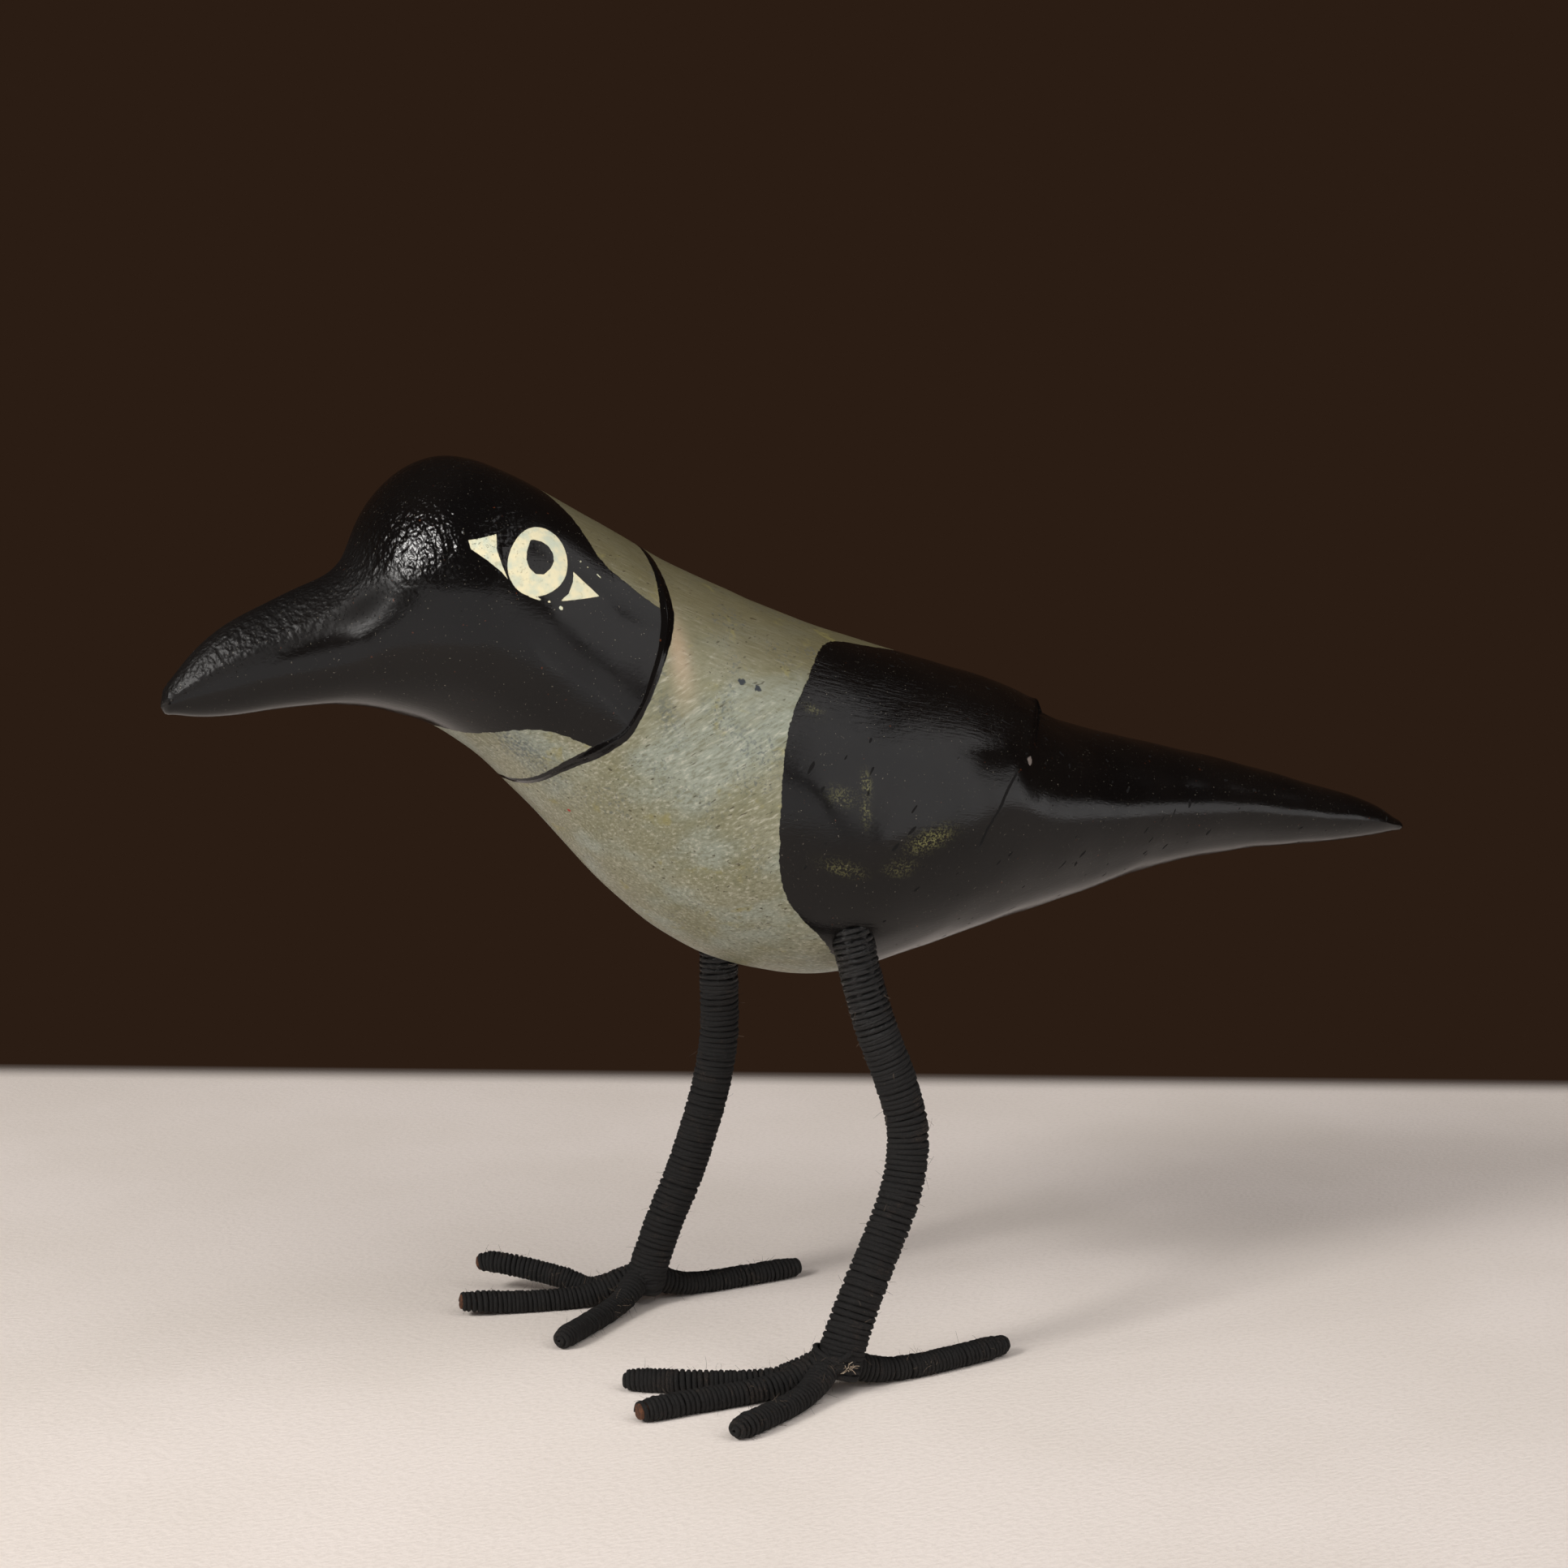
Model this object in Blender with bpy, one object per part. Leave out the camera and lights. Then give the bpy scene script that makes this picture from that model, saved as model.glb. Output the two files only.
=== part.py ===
"""Carved wooden bird with thread-wound wire legs, standing on its own feet.

Metres, +Z up. The beak points to -X, the tail to +X, and the bird's left side is -Y.
The carving is measured from the beak's tip, and everything is centred on the origin at the end.
"""
import math

import bmesh
import bpy
from mathutils import Vector

# Driving sizes
BODY_LENGTH = 0.1736          # beak tip to tail tip
BODY_WIDTH = 0.049            # across the widest part of the breast
BELLY_HEIGHT = 0.0487         # lowest point of the belly above the table
WING_LIP = 0.0017             # how far the folded wing ends stand above the tail
LIP_FACE = 0.00025            # how far the lip's face leans back
SOCKET_DEPTH = 0.006          # how deep each leg is let into the belly
FIT_GAP = 0.0003              # clearance between pieces that touch
SHANK_RADIUS = 0.0027         # a leg's wire bundle with its thread
TOE_RISE = 0.0026             # how high a toe's centre line starts inside the foot
TOE_ROOT_RADIUS = 0.0020      # a toe where it leaves the bundle
TOE_RADIUS = 0.00155          # one wound wire
TOE_TIP_RADIUS = 0.0013       # the closed end of the winding
TREAD = 0.00015               # how much of each toe's round underside is pressed flat
WIRE_RADIUS = 0.0009          # a bare wire end
WIRE_SEAT = 0.0022            # how deep a bare wire end sits in its toe
WIRE_PROUD = 0.0003           # how far a bare wire end stands out of its toe

# Fineness of the solids
RING_SIDES = 40
RING_BANDS = ((0.000, 0.016, 3), (0.016, 0.110, 7), (0.110, 0.200, 11), (0.200, 0.440, 13))
WING_RINGS = 13
TAIL_RINGS = 13
SHANK_POINTS = 20
TOE_POINTS = 13
KNOT_POINTS = 6
TUBE_ROUNDNESS = 4

# The carving's lines from beak tip (0) to tail tip (1).
# Heights are shares of the length above the belly's lowest point, widths are shares of the breast.
CROWN_LINE = (
    (0.000, 0.214), (0.014, 0.239), (0.045, 0.266), (0.085, 0.286), (0.115, 0.298), (0.126, 0.307),
    (0.138, 0.339), (0.155, 0.361), (0.178, 0.376), (0.207, 0.380), (0.242, 0.368), (0.290, 0.343),
    (0.350, 0.310), (0.430, 0.275), (0.540, 0.235), (0.620, 0.206), (0.665, 0.186), (0.740, 0.167),
    (0.830, 0.146), (0.910, 0.124), (0.965, 0.108), (0.990, 0.097), (1.000, 0.087),
)
BELLY_LINE = (
    (0.000, 0.208), (0.018, 0.203), (0.045, 0.203), (0.080, 0.207), (0.125, 0.209), (0.167, 0.200),
    (0.202, 0.184), (0.237, 0.155), (0.277, 0.114), (0.320, 0.067), (0.370, 0.027), (0.420, 0.008),
    (0.475, 0.000), (0.530, 0.012), (0.600, 0.030), (0.680, 0.047), (0.760, 0.066), (0.840, 0.074),
    (0.920, 0.076), (0.970, 0.079), (1.000, 0.083),
)
WIDTH_LINE = (
    (0.000, 0.05), (0.014, 0.12), (0.045, 0.19), (0.085, 0.27), (0.120, 0.37), (0.150, 0.50),
    (0.190, 0.65), (0.240, 0.73), (0.310, 0.80), (0.380, 0.90), (0.440, 0.975), (0.490, 1.00),
    (0.550, 0.97), (0.620, 0.84), (0.690, 0.66), (0.760, 0.51), (0.830, 0.40), (0.900, 0.30),
    (0.960, 0.19), (0.985, 0.12), (1.000, 0.05),
)
# Where the section is widest, as a share of its depth up from the belly.
WAIST_LINE = (
    (0.000, 0.45), (0.100, 0.40), (0.200, 0.46), (0.320, 0.50), (0.500, 0.47), (0.680, 0.50), (1.000, 0.48),
)
# How square the section is: 2 is an ellipse, less is a ridge, more is a box.
UPPER_SHAPE = ((0.000, 2.00), (0.080, 1.75), (0.140, 1.95), (0.200, 2.05), (0.620, 1.95), (1.000, 1.90))
LOWER_SHAPE = ((0.000, 2.00), (0.100, 2.10), (0.250, 2.00), (0.450, 2.05), (1.000, 2.00))

# The folded wings, as shares of the length
WING_END = 0.665              # where the lip crosses the back
WING_RISE = 0.20              # how long the wings take to rise to that lip
WING_LEAN = 0.132             # how far forward the lip would lie under the belly
LEAN_START = 0.37
LEAN_STOP = 0.93
WING_LOW = -0.35              # sine of the turn where the lip has died out
WING_FULL = 0.60              # sine of the turn where the lip has its full height

# Legs: places across the table in metres, measured from under the beak's tip on the middle line.
# A bend gives how far along the table the leg stands at a share of the hip's height.
LEGS = {
    "left": {
        "hip": (0.0810, -0.0170),
        "foot": (0.0758, -0.0218),
        "ankle_radius": 0.0030,
        "bends": (
            (0.16, 0.0790), (0.29, 0.0825), (0.43, 0.0861), (0.56, 0.0874), (0.70, 0.0858), (0.85, 0.0828),
        ),
    },
    "right": {
        "hip": (0.0760, 0.0165),
        "foot": (0.0664, 0.0218),
        "ankle_radius": 0.0027,
        "bends": (
            (0.14, 0.0679), (0.24, 0.0702), (0.38, 0.0731), (0.52, 0.0752), (0.66, 0.0766), (0.83, 0.0762),
        ),
    },
}
# Toes: length, heading in degrees from straight ahead towards the bird's left, sideways bow,
# lifts off the table along the toe, and whether the wire shows at its tip.
FLAT_LIFTS = ((1.0, 0.0),)
ARCHED_LIFTS = ((0.47, 0.0014), (0.72, 0.0025), (0.93, 0.0031), (1.0, 0.0028))
TOES = {
    "left": (
        ("outer_toe", 0.0203, 34.0, 0.0006, FLAT_LIFTS, False),
        ("middle_toe", 0.0254, 3.0, -0.0006, FLAT_LIFTS, True),
        ("inner_toe", 0.0250, -24.0, 0.0008, FLAT_LIFTS, False),
        ("hind_toe", 0.0265, 190.0, -0.0008, FLAT_LIFTS, False),
    ),
    "right": (
        ("outer_toe", 0.0232, -35.0, 0.0, ARCHED_LIFTS, True),
        ("middle_toe", 0.0246, -8.0, 0.0, ((0.6, 0.0), (1.0, 0.0007)), True),
        ("inner_toe", 0.0222, 43.0, 0.0, FLAT_LIFTS, False),
        ("hind_toe", 0.0247, 188.0, 0.0, FLAT_LIFTS, False),
    ),
}

# The loose end of thread that hangs from the tip of the right outer toe
KNOT_TOE = ("right", "outer_toe")
KNOT_START = 0.0012           # how far behind the tip it leaves the toe
KNOT_AHEAD = 0.0020           # how far forward it falls
KNOT_ASIDE = 0.0016           # how far outward it falls
KNOT_RADIUS = 0.0012

WOOD_COLOUR = (0.10, 0.10, 0.09, 1.0)
THREAD_COLOUR = (0.012, 0.011, 0.011, 1.0)
RUST_COLOUR = (0.20, 0.06, 0.02, 1.0)


def on_line(line, share):
    """Value of one of the carving's lines at a share of the length, on a smooth curve through its points."""
    last = len(line) - 1
    index = 0
    while index < last - 1 and share > line[index + 1][0]:
        index += 1
    start, end = line[index], line[index + 1]
    span = end[0] - start[0]
    slopes = []
    for centre in (index, index + 1):
        before, after = line[max(centre - 1, 0)], line[min(centre + 1, last)]
        slopes.append((after[1] - before[1]) / (after[0] - before[0]))
    t = min(max((share - start[0]) / span, 0.0), 1.0)
    from_start = (1 + 2 * t) * (1 - t) ** 2 * start[1] + t * t * (3 - 2 * t) * end[1]
    return from_start + span * (t * (1 - t) ** 2 * slopes[0] - t * t * (1 - t) * slopes[1])


def ease(value, low, high):
    """Smooth step from 0 at low to 1 at high."""
    t = min(max((value - low) / (high - low), 0.0), 1.0)
    return t * t * (3 - 2 * t)


def section(share):
    """Belly height, waist height, crown height and half width of the carving at a share of its length."""
    bottom = BELLY_HEIGHT + BODY_LENGTH * on_line(BELLY_LINE, share)
    top = BELLY_HEIGHT + BODY_LENGTH * on_line(CROWN_LINE, share)
    waist = bottom + (top - bottom) * on_line(WAIST_LINE, share)
    return bottom, waist, top, BODY_WIDTH / 2 * on_line(WIDTH_LINE, share)


def lean(share):
    """How far a ring's foot is drawn forward, so that the rings follow the V of the wing ends."""
    if share < WING_END:
        return WING_LEAN * ease(share, LEAN_START, WING_END)
    return WING_LEAN * (1 - ease(share, WING_END, LEAN_STOP))


def skin_point(ring_share, turn, on_wing):
    """A point of the skin on one ring, with turn 0 on the bird's right and a quarter turn at the crown."""
    share = ring_share - lean(ring_share) * math.sqrt((1 - math.sin(turn)) / 2)
    bottom, waist, top, half_width = section(share)
    above = math.sin(turn) > 0
    power = 2 / on_line(UPPER_SHAPE if above else LOWER_SHAPE, share)
    out = math.copysign(abs(math.cos(turn)) ** power, math.cos(turn))
    up = abs(math.sin(turn)) ** power
    reach = top - waist if above else bottom - waist
    point = Vector((0.0, half_width * out, reach * up))
    if on_wing:
        rise = WING_LIP * ease(ring_share, WING_END - WING_RISE, WING_END)
        point += point.normalized() * rise * ease(math.sin(turn), WING_LOW, WING_FULL)
    return point + Vector((share * BODY_LENGTH, 0.0, waist))


def ring_shares():
    """Where the rings of the carving stand, and whether each belongs to the wings' side of the lip."""
    shares = []
    for start, end, count in RING_BANDS:
        shares += [(start + (end - start) * i / count, True) for i in range(count)]
    wing_start = RING_BANDS[-1][1]
    for i in range(WING_RINGS + 1):
        shares.append((wing_start + (WING_END - wing_start) * i / WING_RINGS, True))
    tail_start = WING_END + LIP_FACE / BODY_LENGTH
    for i in range(TAIL_RINGS + 1):
        shares.append((tail_start + (1 - tail_start) * i / TAIL_RINGS, False))
    return shares


def loft_carving():
    """The carving as one closed skin of rings from beak to tail."""
    bm = bmesh.new()
    rings = []
    for share, on_wing in ring_shares():
        turns = [2 * math.pi * side / RING_SIDES for side in range(RING_SIDES)]
        rings.append([bm.verts.new(skin_point(share, turn, on_wing)) for turn in turns])
    for ring, following in zip(rings, rings[1:]):
        for side in range(RING_SIDES):
            beside = (side + 1) % RING_SIDES
            bm.faces.new((ring[side], ring[beside], following[beside], following[side]))
    bm.faces.new(rings[0])
    bm.faces.new(rings[-1])
    bmesh.ops.recalc_face_normals(bm, faces=bm.faces)
    mesh = bpy.data.meshes.new("body")
    bm.to_mesh(mesh)
    bm.free()
    return mesh


def belly_at(along, across):
    """Height of the carving's underside over a place on the table."""
    share = along / BODY_LENGTH
    bottom, waist, _, half_width = section(share)
    shape = on_line(LOWER_SHAPE, share)
    return waist - (waist - bottom) * (1 - abs(across / half_width) ** shape) ** (1 / shape)


def shank_path(side):
    """Centre line of a leg from below the table to the bottom of its socket."""
    leg = LEGS[side]
    hip_x, hip_y = leg["hip"]
    foot_x, foot_y = leg["foot"]
    hip_height = belly_at(hip_x, abs(hip_y))
    knots = [(-0.04, foot_x - 0.0006), (0.0, foot_x)] + list(leg["bends"]) + [(1.0, hip_x)]
    top_share = 1 + SOCKET_DEPTH / hip_height
    end_slope = (knots[-1][1] - knots[-2][1]) / (knots[-1][0] - knots[-2][0])
    knots.append((top_share, hip_x + end_slope * (top_share - 1)))
    path = []
    for i in range(SHANK_POINTS):
        share = knots[0][0] + (top_share - knots[0][0]) * i / (SHANK_POINTS - 1)
        across = foot_y + (hip_y - foot_y) * share
        path.append(Vector((on_line(knots, share), across, share * hip_height)))
    return path


def toe_path(side, length, heading, bow, lifts):
    """Centre line of a toe from the heart of the foot to its tip."""
    foot_x, foot_y = LEGS[side]["foot"]
    turn = math.radians(heading)
    ahead = Vector((-math.cos(turn), -math.sin(turn), 0.0))
    aside = Vector((-ahead.y, ahead.x, 0.0))
    heights = [(0.0, TOE_RISE), (0.3, 0.0003)] + [lift for lift in lifts if lift[0] > 0.3]
    path = []
    for i in range(TOE_POINTS):
        share = i / (TOE_POINTS - 1)
        rest = TOE_RADIUS - TREAD + max(on_line(heights, share), 0.0)
        bowed = bow * math.sin(math.pi * share)
        path.append(Vector((foot_x, foot_y, rest)) + ahead * length * share + aside * bowed)
    return path


def tube(name, path, radii):
    """A round bar along a path as a closed mesh object, its thickness given point by point."""
    curve = bpy.data.curves.new(name, "CURVE")
    curve.dimensions = "3D"
    curve.bevel_depth = 1.0
    curve.bevel_resolution = TUBE_ROUNDNESS
    curve.use_fill_caps = True
    spline = curve.splines.new("POLY")
    spline.points.add(len(path) - 1)
    for point, place, radius in zip(spline.points, path, radii):
        point.co = (*place, 1.0)
        point.radius = radius
    guide = bpy.data.objects.new(name + "_path", curve)
    bpy.context.scene.collection.objects.link(guide)
    evaluated = guide.evaluated_get(bpy.context.evaluated_depsgraph_get())
    mesh = bpy.data.meshes.new_from_object(evaluated)
    mesh.name = name
    bm = bmesh.new()
    bm.from_mesh(mesh)
    bmesh.ops.remove_doubles(bm, verts=bm.verts, dist=0.00001)
    bmesh.ops.recalc_face_normals(bm, faces=bm.faces)
    bm.to_mesh(mesh)
    bm.free()
    piece = bpy.data.objects.new(name, mesh)
    piece.matrix_world = guide.matrix_world
    bpy.data.objects.remove(guide)
    return piece


def toe_radii(count):
    """Thickness along a toe: it swells into the foot and closes a little at the tip."""
    radii = []
    for i in range(count):
        share = i / (count - 1)
        swell = (TOE_ROOT_RADIUS - TOE_RADIUS) * (1 - ease(share, 0.0, 0.35))
        close = (TOE_RADIUS - TOE_TIP_RADIUS) * ease(share, 0.9, 1.0)
        radii.append(TOE_RADIUS + swell - close)
    return radii


def shank_radii(side):
    """Thickness up a leg, a little more at the ankle."""
    ankle_radius = LEGS[side]["ankle_radius"]
    thinning = [ease(i / (SHANK_POINTS - 1), 0.04, 0.32) for i in range(SHANK_POINTS)]
    return [ankle_radius + (SHANK_RADIUS - ankle_radius) * part for part in thinning]


def wire_bar(name, tip, ahead, behind, in_front, radius):
    """A straight round bar along a toe's end, from behind its tip to in front of it."""
    return tube(name, [tip - ahead * behind, tip + ahead * in_front], [radius, radius])


def hide_helper(helper, cutters):
    """Keep a shape that only cuts or joins out of the finished model."""
    cutters.objects.link(helper)
    helper.hide_render = True
    helper.display_type = "WIRE"


def combine(piece, helper, operation):
    """Join a helper to a piece or cut it away."""
    step = piece.modifiers.new(helper.name, "BOOLEAN")
    step.operation = operation
    step.solver = "EXACT"
    step.object = helper


def tidy_skin(piece):
    """Merge the hair-thin leftovers of cutting and shade the piece smooth up to its sharp edges."""
    weld = piece.modifiers.new("merge_slivers", "WELD")
    weld.merge_threshold = 0.00001
    piece.data.shade_smooth()
    piece.data.set_sharp_from_angle(angle=math.radians(50))


def make_material(name, colour, roughness, metallic):
    """A plain finish for one kind of piece."""
    material = bpy.data.materials.new(name)
    material.use_nodes = True
    shader = material.node_tree.nodes["Principled BSDF"]
    shader.inputs["Base Color"].default_value = colour
    shader.inputs["Roughness"].default_value = roughness
    shader.inputs["Metallic"].default_value = metallic
    return material


def make_leg(side, cutters):
    """A thread-wound leg with its four toes as one piece, and the bare wire ends that show at its toes."""
    leg = tube(side + "_leg", shank_path(side), shank_radii(side))
    wires = []
    for toe_name, length, heading, bow, lifts, bare in TOES[side]:
        path = toe_path(side, length, heading, bow, lifts)
        toe = tube(f"{side}_{toe_name}", path, toe_radii(TOE_POINTS))
        hide_helper(toe, cutters)
        combine(leg, toe, "UNION")
        ahead = (path[-1] - path[-2]).normalized()
        if (side, toe_name) == KNOT_TOE:
            knot = make_knot(path[-1], ahead)
            hide_helper(knot, cutters)
            combine(leg, knot, "UNION")
        if bare:
            name = f"{side}_{toe_name}"
            depth = WIRE_SEAT + FIT_GAP
            seat = wire_bar(name + "_seat", path[-1], ahead, depth, WIRE_SEAT, WIRE_RADIUS + FIT_GAP)
            hide_helper(seat, cutters)
            combine(leg, seat, "DIFFERENCE")
            wires.append(wire_bar(name + "_wire", path[-1], ahead, WIRE_SEAT, WIRE_PROUD, WIRE_RADIUS))
    combine(leg, cutters.objects["table_slab"], "DIFFERENCE")
    return leg, wires


def make_knot(tip, ahead):
    """The short end of thread that hangs from a toe's tip towards the table."""
    start = tip - ahead * KNOT_START
    aside = Vector((ahead.y, -ahead.x, 0.0)).normalized()
    if aside.y < 0:
        aside = -aside
    path = []
    for i in range(KNOT_POINTS):
        share = i / (KNOT_POINTS - 1)
        place = start + (ahead * KNOT_AHEAD + aside * KNOT_ASIDE) * share
        place.z = start.z + (KNOT_RADIUS + FIT_GAP - start.z) * share ** 1.5
        path.append(place)
    return tube("right_outer_toe_knot", path, [KNOT_RADIUS] * KNOT_POINTS)


def make_table_slab():
    """A block whose top is the table, which presses the feet's undersides flat."""
    bm = bmesh.new()
    bmesh.ops.create_cube(bm, size=1.0)
    bmesh.ops.scale(bm, vec=(BODY_LENGTH * 2, BODY_LENGTH * 2, BODY_LENGTH / 10), verts=bm.verts)
    bmesh.ops.translate(bm, vec=(BODY_LENGTH / 2, 0.0, -BODY_LENGTH / 20), verts=bm.verts)
    mesh = bpy.data.meshes.new("table_slab")
    bm.to_mesh(mesh)
    bm.free()
    return bpy.data.objects.new("table_slab", mesh)


def make_socket(side):
    """The hole in the belly that a leg's top sits in."""
    path = shank_path(side)
    belly = belly_at(LEGS[side]["hip"][0], abs(LEGS[side]["hip"][1]))
    inward = (path[-1] - path[-2]).normalized()
    places = [place for place in path if place.z > belly - SOCKET_DEPTH] + [path[-1] + inward * FIT_GAP]
    return tube(f"{side}_socket", places, [SHANK_RADIUS + FIT_GAP] * len(places))


def stand_on_origin(pieces):
    """Centre the finished bird on the origin with its feet on the table."""
    bpy.context.view_layer.update()
    depsgraph = bpy.context.evaluated_depsgraph_get()
    corners = []
    for piece in pieces:
        mesh = piece.evaluated_get(depsgraph).to_mesh()
        corners += [vertex.co.copy() for vertex in mesh.vertices]
    low = Vector([min(corner[i] for corner in corners) for i in range(3)])
    high = Vector([max(corner[i] for corner in corners) for i in range(3)])
    stand = bpy.data.objects.new("stand", None)
    stand.location = (-(low.x + high.x) / 2, -(low.y + high.y) / 2, -low.z)
    return stand


def main():
    for leftover in list(bpy.data.objects):
        bpy.data.objects.remove(leftover)
    bird = bpy.data.collections.new("carved_wooden_bird")
    cutters = bpy.data.collections.new("cutters")
    for collection in (bird, cutters):
        bpy.context.scene.collection.children.link(collection)
    hide_helper(make_table_slab(), cutters)

    painted_wood = make_material("painted_wood", WOOD_COLOUR, 0.35, 0.0)
    black_thread = make_material("black_thread", THREAD_COLOUR, 0.85, 0.0)
    rusty_wire = make_material("rusty_wire", RUST_COLOUR, 0.8, 0.3)

    carving = bpy.data.objects.new("body", loft_carving())
    pieces = [(carving, painted_wood)]
    for side in LEGS:
        socket = make_socket(side)
        hide_helper(socket, cutters)
        combine(carving, socket, "DIFFERENCE")
        leg, wires = make_leg(side, cutters)
        pieces.append((leg, black_thread))
        pieces += [(wire, rusty_wire) for wire in wires]

    for piece, material in pieces:
        piece.data.materials.clear()
        piece.data.materials.append(material)
        bird.objects.link(piece)
        tidy_skin(piece)
    stand = stand_on_origin([piece for piece, _ in pieces])
    bird.objects.link(stand)
    for member in list(bird.objects) + list(cutters.objects):
        if member is not stand:
            member.parent = stand


main()
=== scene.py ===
"""Looks of a carved and painted wooden bird that stands on thread-wound wire legs.

Metres, +Z up. The beak points to -X and the bird's left side, which the picture shows, is -Y.
"""
import math
import random

import bmesh
import bpy
import numpy as np
from mathutils import Matrix, Vector, noise
from mathutils.bvhtree import BVHTree


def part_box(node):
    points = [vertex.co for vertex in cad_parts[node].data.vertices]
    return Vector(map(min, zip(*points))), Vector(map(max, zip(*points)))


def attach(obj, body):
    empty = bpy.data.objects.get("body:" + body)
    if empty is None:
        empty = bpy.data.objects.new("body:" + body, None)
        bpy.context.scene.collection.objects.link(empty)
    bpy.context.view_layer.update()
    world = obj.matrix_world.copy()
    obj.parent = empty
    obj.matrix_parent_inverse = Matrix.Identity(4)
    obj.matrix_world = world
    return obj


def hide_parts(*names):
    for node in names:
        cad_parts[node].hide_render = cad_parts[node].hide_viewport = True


MM = 0.001

# The picture's camera
CAMERA_PLACE = (-0.13521, -0.30843, 0.10686)
CAMERA_PITCH = 84.2
CAMERA_YAW = -22.5
TABLE_SKEW = 2.8  # how far the table is turned from square to the camera, in degrees
TABLE_NEAR = 0.12  # the table's near and far edges, in metres ahead of the camera
TABLE_FAR = 0.497
TABLE_EDGE = 0.014
TABLE_WIDTH = 3.0
FOCAL_LENGTH = 59.63
SENSOR = 36.0

# The carving's middle plane, and the middle height of its section from beak to tail, in millimetres
MIDDLE_Y = -1.8
SPINE = ((-86.8, 85.3), (-66.0, 93.1), (-52.1, 97.7), (-34.7, 85.8), (-13.9, 73.6), (17.4, 69.8),
         (52.1, 68.1), (86.8, 63.5))

# Fineness and smoothing of the carving's skin; lengths here and below are in millimetres
SKIN_STATIONS = 400
SKIN_TURNS = 156
SKIN_TIP = 0.9  # how far from either end the skin starts to close
BELLY_TOP = 66  # the belly's skin lies below this height
SOCKET_REACH = 5.0  # how far round a hip the skin is closed over the leg's socket
SMOOTH_ROUNDS = 26
SIDEWAYS_ROUNDS = 14
# The step at the wings' rear end stays crisp: its least drop, its span along the bird, its least turn's sine
LIP_DROP = 0.28
LIP_SPAN = (6, 32)
LIP_RISE = 0.33
# Low on the flank that step fades out: where along the bird, at which sines of the turn, and how smoothly
FADE_SPAN = (-2, 6, 24, 34)
FADE_RISE = (-0.5, -0.3, 0.18, 0.42)
FADE_ROUNDS = 260
# Fine carving: depth or height with half width in millimetres or degrees of turn, then where it fades
BROW_GROOVE = (0.25, 2.6)
WING_RIDGE = (0.45, 11)
WING_RIDGE_TURN = (27, -12, 0.46)  # its turn at a place along, that place, and its fall per millimetre
WING_RIDGE_SPAN = (-20, -12, 12, 18)
BEAK_RIDGE = (0.2, 10)
BEAK_RIDGE_SPAN = (-85, -79, -68, -60)
RIPPLE = (0.16, 0.16)  # its height, and how many waves to a millimetre

# Outlines of the paint on the carving's side: place along the bird in millimetres,
# and turn in degrees from the belly (-90) over the flank (0) to the back (90)
COLLAR = ((-29.0, 94), (-29.0, 72), (-29.1, 64), (-29.4, 52), (-29.6, 45), (-29.9, 37), (-30.9, 27),
          (-32.0, 17), (-33.7, 2), (-34.8, -6), (-36.1, -15), (-37.4, -21), (-38.6, -27), (-40.1, -35),
          (-41.5, -43), (-42.8, -53), (-44.1, -67), (-45.2, -81), (-45.6, -94))
COLLAR_HALF_WIDTH = ((-90, 0.35), (-76, 0.4), (-50, 0.5), (-27, 0.85), (0, 0.45), (20, 0.6), (42, 0.95),
                     (60, 0.65), (90, 0.4))
HOOD_EDGE = ((-42.6, 94), (-41.6, 78), (-39.7, 65), (-38.7, 55), (-37.4, 46), (-35.2, 43), (-32.9, 41),
             (-29.9, 40), (-29.8, 37), (-30.9, 27), (-32.0, 17), (-33.7, 2), (-34.8, -6), (-36.1, -15),
             (-37.4, -21), (-38.6, -27), (-40.3, -30), (-43.0, -34), (-45.5, -40), (-47.8, -49),
             (-50.0, -60), (-52.0, -72), (-53.6, -80), (-54.3, -94))
WING_EDGE = ((7.0, 94), (6.4, 81), (3.4, 75), (0.0, 71), (-3.3, 67.5), (-6.3, 62.5), (-8.4, 57), (-11.0, 46),
             (-13.5, 35), (-15.7, 26), (-16.8, 17), (-17.5, 9), (-17.9, -1), (-17.9, -9), (-17.9, -17),
             (-17.6, -24), (-17.0, -28), (-16.2, -33), (-15.2, -36), (-13.9, -38), (-12.5, -41),
             (-10.8, -43), (-9.0, -48), (-6.5, -55), (-2.5, -64), (1.0, -76), (2.0, -94))
CORNER_SHARE = 0.25  # how much of each side goes when an outline's corner is cut
CORNER_ROUNDS = 3
TURN_WEIGHT = 0.35  # millimetres to a degree of turn when points are spread along an outline
DEGREE = 0.42  # millimetres of skin to a degree of turn
BROW = ((-64.7, 77), (-64.0, 47), (-62.9, 23), (-61.4, 10), (-59.8, 1), (-57.2, -7), (-54.5, -9))
# The knife cut at the wing's end, drawn only in the paint as a matt dark line of painted shade
WING_CUT = ((13.9, 15), (12.9, 12), (11.7, 8), (10.9, 4), (10.1, 1), (8.9, -3), (7.9, -9))
# Soft patches: place along and its spread, turn and its spread
BEAK_ROOT = (-64.8, 3.4, 21.0, 11.0)
FLUSH = (-29.3, 1.4, 26, 14)
# Parts of the black paint with a grain of their own: the turns and the places along at which each fades
PEBBLED = ((4, 26), (-54, -44))
BEAK_TOP = ((6, 18), (-65, -61))
WING_TOP = ((12, 26), (26, 40))

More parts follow.
